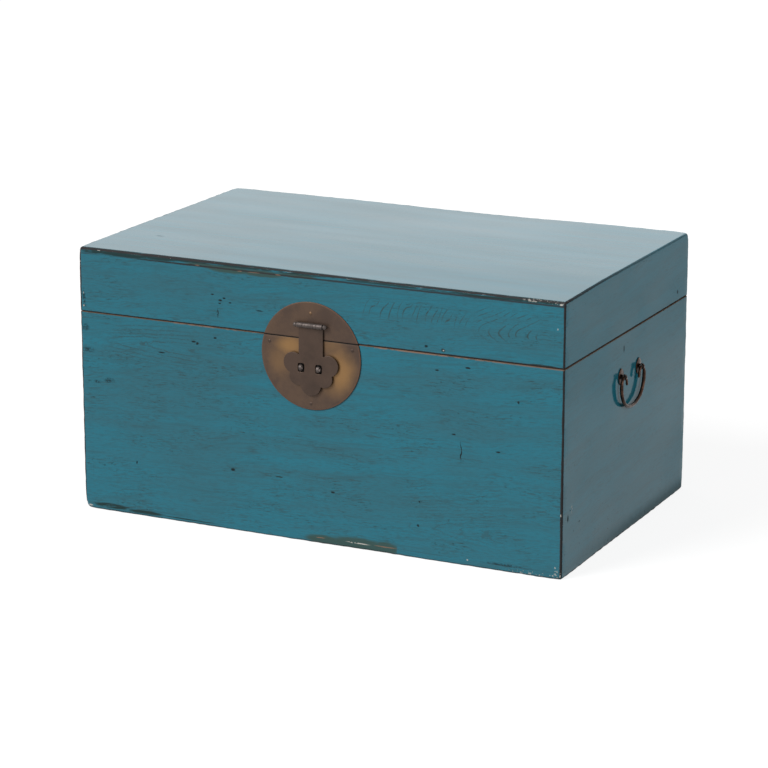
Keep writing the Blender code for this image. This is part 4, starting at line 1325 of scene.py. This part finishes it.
class TRUNK_OT_boards(bpy.types.Operator):
    """Finger-jointed boards of the case and rails of the lid"""

    bl_idname = "trunk.boards"
    bl_label = "Boards and rails"

    def execute(self, context):
        wood = context.scene.trunk_wood
        walls = ((TO_FRONT, 0), (TO_BACK, 0), (TO_LEFT, 1), (TO_RIGHT, 1))
        boards = ("front_board", "back_board", "left_end_board", "right_end_board")
        rails = ("lid_front_rail", "lid_back_rail", "lid_left_rail", "lid_right_rail")
        for nodes, fingers in ((boards, wood.case_fingers), (rails, wood.lid_fingers)):
            for node, (outward, first) in zip(nodes, walls):
                shell = board_shell(node, outward, wood, fingers, first)
                add_piece(node, [shell], lacquer(), "lacquer")
        return {"FINISHED"}


class TRUNK_OT_planks(bpy.types.Operator):
    """Planks of the top and the bottom"""

    bl_idname = "trunk.planks"
    bl_label = "Top and bottom planks"

    def execute(self, context):
        wood = context.scene.trunk_wood
        planks = [(f"lid_top_plank_{place}", UP) for place in ("front", "back")]
        planks += [(f"bottom_plank_{place}", -UP) for place in ("front", "middle", "back")]
        for node, outward in planks:
            add_piece(node, [board_shell(node, outward, wood)], lacquer(), "lacquer")
        return {"FINISHED"}


class TRUNK_OT_battens(bpy.types.Operator):
    """Battens under the lid"""

    bl_idname = "trunk.battens"
    bl_label = "Battens"

    def execute(self, context):
        wood = context.scene.trunk_wood
        elm = bare_elm()
        for side in ("left", "right"):
            node = f"lid_batten_{side}"
            add_piece(node, [board_shell(node, -UP, wood)], elm, "bare_elm")
        return {"FINISHED"}


def plate_circle():
    """Centre and radius of the round lock plate, from its lower part."""
    low, high = corners("lower_lock_plate")
    radius = (high[0] - low[0]) / 2
    return np.array(((low[0] + high[0]) / 2, low[2] + radius)), radius


def segment(radius, cut, upper, steps=150, chord_steps=36):
    """Outline of the part of a circle above or below a level cut, anticlockwise: its arc and its chord."""
    angle = math.asin(cut / radius)
    start, end = (angle, math.pi - angle) if upper else (math.pi - angle, math.tau + angle)
    round_part = arc((0.0, 0.0), radius, start, end, steps)
    chord = np.linspace(round_part[-1], round_part[0], chord_steps + 1)[1:-1]
    return np.concatenate((round_part, chord))


class TRUNK_OT_lock_plates(bpy.types.Operator):
    """Round lock plate, parted at the seam"""

    bl_idname = "trunk.lock_plates"
    bl_label = "Lock plates"

    def execute(self, context):
        lock = context.scene.trunk_lock
        centre, radius = plate_circle()
        axes = wall_axes(TO_FRONT)
        for node, upper in (("upper_lock_plate", True), ("lower_lock_plate", False)):
            low, high = corners(node)
            cut = (low if upper else high)[2] - centre[1]
            outline = segment(radius, cut, upper)
            middle = np.array((0.0, (cut + radius) / 2 if upper else (cut - radius) / 2))
            thickness = high[1] - low[1]
            points, faces = polar_plate(outline, middle, plate_profile(thickness, lock.rim))
            inner = 1 - np.linalg.norm(points[:, :2], axis=1) / radius
            face = (points[:, 2] > thickness / 2) * np.clip(inner * 12, 0, 1)
            points[:, 2] += lock.plate_ripple * face * waves(points * (1, 1, 0), lock.ripple_length, seed=3)
            place = placed(points, (centre[0], high[1], centre[1]), axes)
            add_piece(node, [(place, faces)], aged_brass("plate"), "aged_brass")
        return {"FINISHED"}


def nail_shell(node, outward, lock):
    """Domed nail: a flattened half circle over a straight shank and a point, turned."""
    low, high = corners(node)
    axes = wall_axes(outward)
    tip = (high if outward.sum() > 0 else low) @ abs(outward)
    seat = (low + high) / 2
    seat = seat - (seat @ abs(outward)) * abs(outward) + tip * abs(outward) - outward * lock.nail_seat
    deep = (high - low) @ abs(outward) - lock.nail_seat
    dome = arc((0, 0), 1.0, 0, math.pi / 2, 8) * (lock.nail_head, lock.nail_dome)
    profile = [(0, -deep), (lock.nail_shank, lock.nail_point - deep), (lock.nail_shank, 0), *dome]
    points, faces = lathe(profile, 24)
    return placed(points, seat, axes), faces


class TRUNK_OT_nails(bpy.types.Operator):
    """Domed nails of the lock plate and the hinges"""

    bl_idname = "trunk.nails"
    bl_label = "Nails"

    def execute(self, context):
        lock = context.scene.trunk_lock
        nails = [("upper_plate_nail", TO_FRONT)]
        nails += [(f"lower_plate_nail_{spot}", TO_FRONT) for spot in ("left", "right", "bottom")]
        nails += [
            (f"{side}_hinge_{level}_leaf_nail_{spot}", TO_BACK)
            for side in ("left", "right")
            for level in ("upper", "lower")
            for spot in ("left", "middle", "right")
        ]
        for node, outward in nails:
            # The upper nail takes the lighter patina: a painted highlight on its head
            finish = aged_brass("bright" if node == "upper_plate_nail" else "nail")
            add_piece(node, [nail_shell(node, outward, lock)], finish, "aged_brass")
        return {"FINISHED"}


def meeting_point(first, second):
    """Where two lobes cross on their outer side: along the line of centres, then square to it."""
    start, end = np.array((first[0], -first[1])), np.array((second[0], -second[1]))
    span = np.linalg.norm(end - start)
    heading = (end - start) / span
    along = (span**2 + first[2] ** 2 - second[2] ** 2) / (2 * span)
    aside = math.sqrt(first[2] ** 2 - along**2)
    return start + heading * along + np.array((-heading[1], heading[0])) * aside


def lobe(circle, start, end, steps=22):
    """Arc of one lobe, clockwise from a start point to an end point."""
    centre = np.array((circle[0], -circle[1]))
    first = math.atan2(*(start - centre)[::-1])
    last = math.atan2(*(end - centre)[::-1])
    return arc(centre, circle[2], first, last - math.tau if last > first else last, steps)


def hasp_outline(lock):
    """Cloud-shaped hasp, anticlockwise: a strap, two pairs of arcs, and an arc drawn out to a tip."""
    edge = lock.strap_width / 2
    across, below, radius = lock.upper_lobe
    shoulder = np.array((edge, math.sqrt(radius**2 - (edge - across) ** 2) - below))
    waist = meeting_point(lock.upper_lobe, lock.lower_lobe)
    neck = meeting_point(lock.lower_lobe, lock.tip_lobe)
    tip = np.array((0.0, -lock.tip_lobe[1] - lock.tip_lobe[2]))
    strap = np.linspace((edge, 0.0), shoulder, 12)[:-1]
    half = np.concatenate(
        (
            strap,
            lobe(lock.upper_lobe, shoulder, waist),
            lobe(lock.lower_lobe, waist, neck)[1:],
            lobe(lock.tip_lobe, neck, tip)[1:-1],
        )
    )
    whole = np.concatenate((half, [tip - (0, lock.tip_point)], (half * (-1, 1))[::-1]))
    return whole[::-1]


def staple_hole(middle, level, lock):
    """Squarish slot for a staple, clockwise: a superellipse, the power of a circle's sine and cosine."""
    angle = np.linspace(0, -math.tau, 40, endpoint=False)
    circle = np.stack((np.cos(angle), np.sin(angle)), axis=-1)
    square = np.sign(circle) * abs(circle) ** lock.hole_squareness
    return (middle, level) + square * (lock.hole_width / 2, lock.hole_height / 2)


def tilted(points, lock):
    """Points in the hasp's frame turned out from the wall about its axis by the tilt."""
    cosine, sine = math.cos(lock.tilt), math.sin(lock.tilt)
    _, up, out = points.T
    return np.stack((points[:, 0], up * cosine + out * sine, out * cosine - up * sine), axis=-1)


def barrel_spans(gaps, half_length):
    """Middles and lengths of what is left of a barrel between its gaps, each a start and an end."""
    ends = [-half_length, *(end for gap in gaps for end in gap), half_length]
    return [((start + end) / 2, end - start) for start, end in zip(ends[::2], ends[1::2])]


class TRUNK_OT_hasp(bpy.types.Operator):
    """Cloud-shaped hasp and its rolled knuckle"""

    bl_idname = "trunk.hasp"
    bl_label = "Hasp"

    def execute(self, context):
        lock = context.scene.trunk_lock
        axis = AXES["hasp_hinge"]
        axes = wall_axes(TO_FRONT)
        staples = [corners(f"lock_staple_{side}") for side in ("left", "right")]
        outlines = [hasp_outline(lock)]
        for low, high in staples:
            middle = (low + high) / 2 - axis
            outlines.append(staple_hole(middle[0], middle[2], lock))
        points, faces = plate_shell(outlines, lock.leaf_thickness, lock.rim)
        points[:, 2] -= lock.leaf_set_back
        leaf = placed(tilted(points, lock), axis, axes), faces
        add_piece("hasp", [leaf], aged_brass("hasp"), "aged_brass")

        eyes = [corners(f"hasp_eye_{side}") for side in ("left", "right")]
        room = lock.knuckle_room
        gaps = [(low[0] - axis[0] - room, high[0] - axis[0] + room) for low, high in eyes]
        shells = []
        for middle, length in barrel_spans(gaps, lock.knuckle_length / 2):
            points, faces = tube(length, lock.knuckle_radius, lock.knuckle_bore, lock.knuckle_rim)
            shells.append((placed(points + (middle, 0, 0), axis, axes), faces))
        add_piece("hasp", shells, steel(), "steel", name="hasp_knuckle", replaces=False)
        return {"FINISHED"}


class TRUNK_OT_hasp_pin(bpy.types.Operator):
    """Hasp's pin with its ball ends, and the two eyes that hold it"""

    bl_idname = "trunk.hasp_pin"
    bl_label = "Hasp pin and eyes"

    def execute(self, context):
        lock = context.scene.trunk_lock
        axis = AXES["hasp_hinge"]
        low, high = corners("hasp_pin")
        half = (high[0] - low[0]) / 2
        foot = math.asin(lock.pin_radius / lock.ball_radius)
        ball = arc((0, half - lock.ball_radius), lock.ball_radius, foot - math.pi / 2, math.pi / 2, 14)
        profile = np.concatenate(((ball * (1, -1))[::-1], ball))
        points, faces = lathe(profile)
        add_piece("hasp_pin", [(placed(points, axis, ALONG_X), faces)], steel(), "steel")
        for side in ("left", "right"):
            node = f"hasp_eye_{side}"
            strip = lock.knuckle_radius - lock.knuckle_bore
            shell = pin_shell(node, TO_FRONT, axis, lock.knuckle_radius, lock.knuckle_radius, strip)
            add_piece(node, [shell], steel(), "steel")
        return {"FINISHED"}


def pin_shell(node, outward, axis, half_depth, half_height, strip):
    """Split pin over a node's box: its eye is level with an axis, its legs lie on the wall's inside."""
    low, high = corners(node)
    axes = np.array((outward, UP, np.cross(outward, UP)))
    eye = np.where(abs(outward) > 0.5, axis, (low + high) / 2)
    depth, height, width = abs(axes) @ (high - low)
    wall = depth - half_depth - strip
    points, faces = split_pin(half_depth, half_height, strip, width, wall, height / 2)
    return placed(points, eye, axes), faces


class TRUNK_OT_staples(bpy.types.Operator):
    """Staples that take a padlock's bolt"""

    bl_idname = "trunk.staples"
    bl_label = "Staples"

    def execute(self, context):
        lock = context.scene.trunk_lock
        for side in ("left", "right"):
            node = f"lock_staple_{side}"
            low, _ = corners(node)
            plate_front = corners("lower_lock_plate")[0][1]
            half_depth = (plate_front - low[1]) / 2
            eye = np.array((0.0, low[1] + half_depth, 0.0))
            shell = pin_shell(node, TO_FRONT, eye, half_depth, lock.staple_height / 2, lock.staple_strip)
            add_piece(node, [shell], steel(), "steel")
        return {"FINISHED"}


def bail_path(handles):
    """Half of a bail as rows of along, height and radius, from its tail to the middle of its grip."""
    eye = handles.eye_spacing / 2
    tail, tail_drop = handles.bail_tail, handles.bail_tail_drop
    bulge, drop = handles.bail_bulge, handles.bail_drop
    tip, crook, grip = handles.tip_radius, handles.crook_radius, handles.grip_radius
    return np.array(
        (
            (eye - tail, -tail_drop, tip),
            (eye - 0.80 * tail, -0.45 * tail_drop, tip),
            (eye - 0.40 * tail, -0.06 * tail_drop, crook),
            (eye, 0.0, crook),
            (eye + 0.40 * bulge, -0.02 * drop, crook),
            (eye + 0.85 * bulge, -0.12 * drop, crook),
            (eye + bulge, -0.26 * drop, grip),
            (eye + 0.75 * bulge, -0.53 * drop, grip),
            (0.92 * eye, -0.81 * drop, grip),
            (0.46 * eye, -0.96 * drop, grip),
            (0.0, -drop, grip),
        )
    )


def round_end(tip, before):
    """Rows that close a rod with a half ball: on by the sine of an angle, and thinner by its cosine."""
    angle = np.linspace(0, math.pi / 2, 7)[1:]
    heading = (tip - before)[:2] / np.linalg.norm((tip - before)[:2])
    along = tip[:2] + np.sin(angle)[:, None] * heading * tip[2]
    return np.column_stack((along, np.cos(angle) * tip[2]))


class TRUNK_OT_bails(bpy.types.Operator):
    """Drop handles, each bent from one tapered rod"""

    bl_idname = "trunk.bails"
    bl_label = "Bails"

    def execute(self, context):
        handles = context.scene.trunk_handles
        half = bail_path(handles)
        rows = smooth_path(np.concatenate((half, (half * (-1, 1, 1))[-2::-1])), 12)
        rows = np.concatenate((round_end(rows[0], rows[1])[::-1], rows, round_end(rows[-1], rows[-2])))
        angle = np.arange(20) * math.tau / 20
        circle = np.stack((np.cos(angle), np.sin(angle)), axis=-1)
        points, faces = sweep(strip_along(rows[:, :2], circle, rows[:, 2])[::-1])
        axes = np.array((TO_BACK, UP, TO_RIGHT))
        for side in ("left", "right"):
            place = placed(points, AXES[f"{side}_bail_hinge"], axes)
            add_piece(f"{side}_bail", [(place, faces)], iron(), "dark_iron")
        return {"FINISHED"}


class TRUNK_OT_handle_mounts(bpy.types.Operator):
    """Leaf-shaped rosettes and the split eyes that hold the bails"""

    bl_idname = "trunk.handle_mounts"
    bl_label = "Rosettes and eyes"

    def execute(self, context):
        handles = context.scene.trunk_handles
        rim = context.scene.trunk_lock.rim
        for side, outward in (("left", TO_LEFT), ("right", TO_RIGHT)):
            for place in ("front", "back"):
                node = f"{side}_handle_rosette_{place}"
                low, high = corners(node)
                half_width, half_height, thickness = (high - low)[[1, 2, 0]] * (0.5, 0.5, 1.0)
                radius = (half_width**2 + half_height**2) / (2 * half_width)
                spread = math.asin(half_height / radius)
                right = arc((half_width - radius, 0), radius, -spread, spread, 30)
                outline = np.concatenate((right, (right * (-1, 1))[-2:0:-1]))
                profile = plate_profile(thickness, rim, handles.rosette_dome, 8)
                points, faces = polar_plate(outline, np.zeros(2), profile)
                seat = (low + high) / 2 - outward * thickness / 2
                add_piece(node, [(placed(points, seat, wall_axes(outward)), faces)], iron(), "dark_iron")
                node = f"{side}_handle_eye_{place}"
                axis = AXES[f"{side}_bail_hinge"]
                radius = handles.eye_radius
                shell = pin_shell(node, outward, axis, radius, radius, handles.eye_strip)
                add_piece(node, [shell], iron(), "dark_iron")
        return {"FINISHED"}


class TRUNK_OT_hinges(bpy.types.Operator):
    """Butt hinges across the back of the seam, with their pins"""

    bl_idname = "trunk.hinges"
    bl_label = "Hinges"

    def execute(self, context):
        handles = context.scene.trunk_handles
        rim = context.scene.trunk_lock.rim
        level = AXES["lid_hinge"]
        axes = wall_axes(TO_BACK)
        for side in ("left", "right"):
            for part, up, kept in (("upper", 1, 1), ("lower", -1, 0)):
                node = f"{side}_hinge_{part}_leaf"
                low, high = corners(f"{side}_hinge_lower_leaf")
                middle, length = (low[0] + high[0]) / 2, high[0] - low[0]
                axis = np.array((middle, level[1], level[2]))
                low, high = corners(node)
                leaf_height = max(high[2] - axis[2], axis[2] - low[2])
                sheet, gap, outer = handles.hinge_sheet, handles.hinge_gap, handles.hinge_knuckle_radius
                room = outer + 2 * gap
                plate = rounded_box(length / 2, (leaf_height - room) / 2, handles.hinge_corner)
                points, faces = plate_shell([plate], sheet, rim)
                foot = np.array((0, up * (leaf_height + room) / 2, low[1] - axis[1]))
                shells = [(placed(points + foot, axis, axes), faces)]
                pitch = length / handles.hinge_knuckles
                for knuckle in range(kept, handles.hinge_knuckles, 2):
                    shift = (knuckle + 0.5) * pitch - length / 2
                    points, faces = tube(pitch - gap, outer, handles.hinge_bore, handles.hinge_rim)
                    shells.append((placed(points + (shift, 0, 0), axis, axes), faces))
                    root = rounded_box((pitch - gap) / 2, room / 2 + rim, rim / 2)
                    points, faces = plate_shell([root], sheet, rim / 2)
                    points += (shift, up * (room / 2 + rim), low[1] - axis[1])
                    shells.append((placed(points, axis, axes), faces))
                add_piece(node, shells, aged_brass("nail"), "aged_brass")
            node = f"{side}_hinge_pin"
            low, high = corners(node)
            half = (high[0] - low[0]) / 2 - handles.hinge_cap_height
            cap = arc((0, 0), 1.0, 0, math.pi / 2, 8) * (handles.hinge_cap_radius, handles.hinge_cap_height)
            end = np.concatenate(([(handles.hinge_pin_radius, half)], cap + (0, half)))
            points, faces = lathe(np.concatenate(((end * (1, -1))[::-1], end)))
            add_piece(node, [(placed(points, axis, ALONG_X), faces)], aged_brass("nail"), "aged_brass")
        return {"FINISHED"}


class TRUNK_OT_stage(bpy.types.Operator):
    """White floor and surroundings, a key light, lights on the right and behind, and the camera"""

    bl_idname = "trunk.stage"
    bl_label = "Stage"

    def execute(self, context):
        stage = context.scene.trunk_stage
        scene = context.scene
        scene.view_settings.view_transform = "Standard"
        self.make_floor(scene, stage)
        self.make_world(scene, stage)
        self.make_lights(scene, stage)
        self.make_camera(scene, stage)
        return {"FINISHED"}

    def seen(self, node_tree):
        """1 for rays that show the surroundings: camera, glossy and transmission rays."""
        path = node_tree.nodes.new("ShaderNodeLightPath")
        kinds = ("Camera", "Glossy", "Transmission")
        camera, glossy, through = (Shade(node_tree, path.outputs[f"Is {kind} Ray"]) for kind in kinds)
        return camera.most(glossy).most(through)

    def make_floor(self, scene, stage):
        """Round floor: rings about the origin, each a circle of a smaller radius."""
        angle = np.arange(64) * math.tau / 64
        radius = np.linspace(stage.floor_radius, 0, 8)[:, None]
        level = np.full((len(radius), len(angle)), -stage.floor_drop)
        rings = np.stack((radius * np.cos(angle), radius * np.sin(angle), level), axis=-1)
        points, faces = sweep(rings, start_cap=False, end_cap=False)
        mesh = bpy.data.meshes.new("floor")
        mesh.from_pydata(points.tolist(), [], faces)
        material = bpy.data.materials.new("floor_white")
        material.use_nodes = True
        tree = material.node_tree
        tree.nodes.remove(tree.nodes["Principled BSDF"])
        seen = self.seen(tree)
        grey = (stage.floor_grey,) * 3 + (1.0,)
        matt = seen.node("ShaderNodeBsdfDiffuse", None, {"Color": grey})
        glow = seen.node("ShaderNodeEmission", None, {"Strength": seen * stage.floor_white})
        both = seen.node("ShaderNodeAddShader", None, {0: matt, 1: glow})
        tree.links.new(both.socket, tree.nodes["Material Output"].inputs["Surface"])
        mesh.materials.append(material)
        floor = bpy.data.objects.new("floor", mesh)
        scene.collection.objects.link(floor)

    def make_world(self, scene, stage):
        """White all round where it is seen, and an even dim light elsewhere."""
        world = bpy.data.worlds.new("studio")
        world.use_nodes = True
        scene.world = world
        tree = world.node_tree
        seen = self.seen(tree)
        strength = seen * (1 - stage.sky) + stage.sky
        background = tree.nodes["Background"]
        background.inputs["Color"].default_value = (1, 1, 1, 1)
        tree.links.new(strength.socket, background.inputs["Strength"])

    def make_lights(self, scene, stage):
        """Wide sun from the front left, a soft light on the right and a large one behind."""
        sun = bpy.data.lights.new("key", "SUN")
        sun.energy = stage.key
        sun.angle = stage.key_softness
        key = bpy.data.objects.new("key", sun)
        towards = direction(stage.key_azimuth, stage.key_elevation)
        key.rotation_euler = Vector(towards).to_track_quat("Z", "Y").to_euler()
        scene.collection.objects.link(key)
        fill_from = direction(stage.fill_azimuth, stage.fill_elevation) * stage.fill_distance
        back_from = direction(math.pi + stage.azimuth, stage.back_elevation) * stage.back_distance
        panels = (
            ("fill", fill_from, stage.fill, stage.fill_size, stage.fill_size),
            ("back", back_from, stage.back, stage.back_width, stage.back_height),
        )
        for name, place, power, width, height in panels:
            soft = bpy.data.lights.new(name, "AREA")
            soft.shape = "RECTANGLE"
            soft.size = width
            soft.size_y = height
            soft.energy = power
            lamp = bpy.data.objects.new(name, soft)
            lamp.location = place
            lamp.rotation_euler = Vector(place).to_track_quat("Z", "Y").to_euler()
            lamp.visible_camera = False
            scene.collection.objects.link(lamp)

    def make_camera(self, scene, stage):
        """Camera at its turn, height and distance from a target in the picture's plane."""
        towards = direction(stage.azimuth, stage.elevation)
        right = np.cross(UP, towards)
        right /= np.linalg.norm(right)
        above = np.cross(towards, right)
        lens = bpy.data.cameras.new("camera")
        lens.lens = stage.lens
        lens.sensor_width = stage.sensor
        lens.clip_end = stage.reach
        camera = bpy.data.objects.new("camera", lens)
        camera.location = right * stage.aim_across + above * stage.aim_up + towards * stage.distance
        camera.rotation_euler = Vector(towards).to_track_quat("Z", "Y").to_euler()
        scene.collection.objects.link(camera)
        scene.camera = camera


def direction(azimuth, elevation):
    """Direction from the trunk to a viewer: turned to the right of the front, and raised."""
    flat = math.cos(elevation)
    return np.array((math.sin(azimuth) * flat, -math.cos(azimuth) * flat, math.sin(elevation)))


class TRUNK_PT_panel(bpy.types.Panel):
    """Operators and settings of the trunk"""

    bl_idname = "TRUNK_PT_panel"
    bl_label = "Trunk"
    bl_space_type = "VIEW_3D"
    bl_region_type = "UI"
    bl_category = "Trunk"

    def draw(self, context):
        for operator in OPERATORS:
            self.layout.operator(operator.bl_idname)
        for name in GROUPS:
            group = getattr(context.scene, name)
            box = self.layout.box()
            box.label(text=name)
            for key in group.bl_rna.properties.keys():
                if key not in ("rna_type", "name"):
                    box.prop(group, key)


GROUPS = {
    "trunk_wood": TrunkWood,
    "trunk_lock": TrunkLock,
    "trunk_handles": TrunkHandles,
    "trunk_colours": TrunkColours,
    "trunk_stage": TrunkStage,
}
OPERATORS = (
    TRUNK_OT_boards,
    TRUNK_OT_planks,
    TRUNK_OT_battens,
    TRUNK_OT_lock_plates,
    TRUNK_OT_nails,
    TRUNK_OT_hasp,
    TRUNK_OT_hasp_pin,
    TRUNK_OT_staples,
    TRUNK_OT_bails,
    TRUNK_OT_handle_mounts,
    TRUNK_OT_hinges,
    TRUNK_OT_stage,
)
CLASSES = (*GROUPS.values(), *OPERATORS, TRUNK_PT_panel)


def register():
    for one in CLASSES:
        bpy.utils.register_class(one)
    for name, group in GROUPS.items():
        setattr(bpy.types.Scene, name, PointerProperty(type=group))


def unregister():
    for name in GROUPS:
        delattr(bpy.types.Scene, name)
    for one in reversed(CLASSES):
        bpy.utils.unregister_class(one)


def main():
    """Make every piece and the stage."""
    register()
    for operator in OPERATORS:
        family, name = operator.bl_idname.split(".")
        getattr(getattr(bpy.ops, family), name)()


if __name__ == "__main__":
    main()
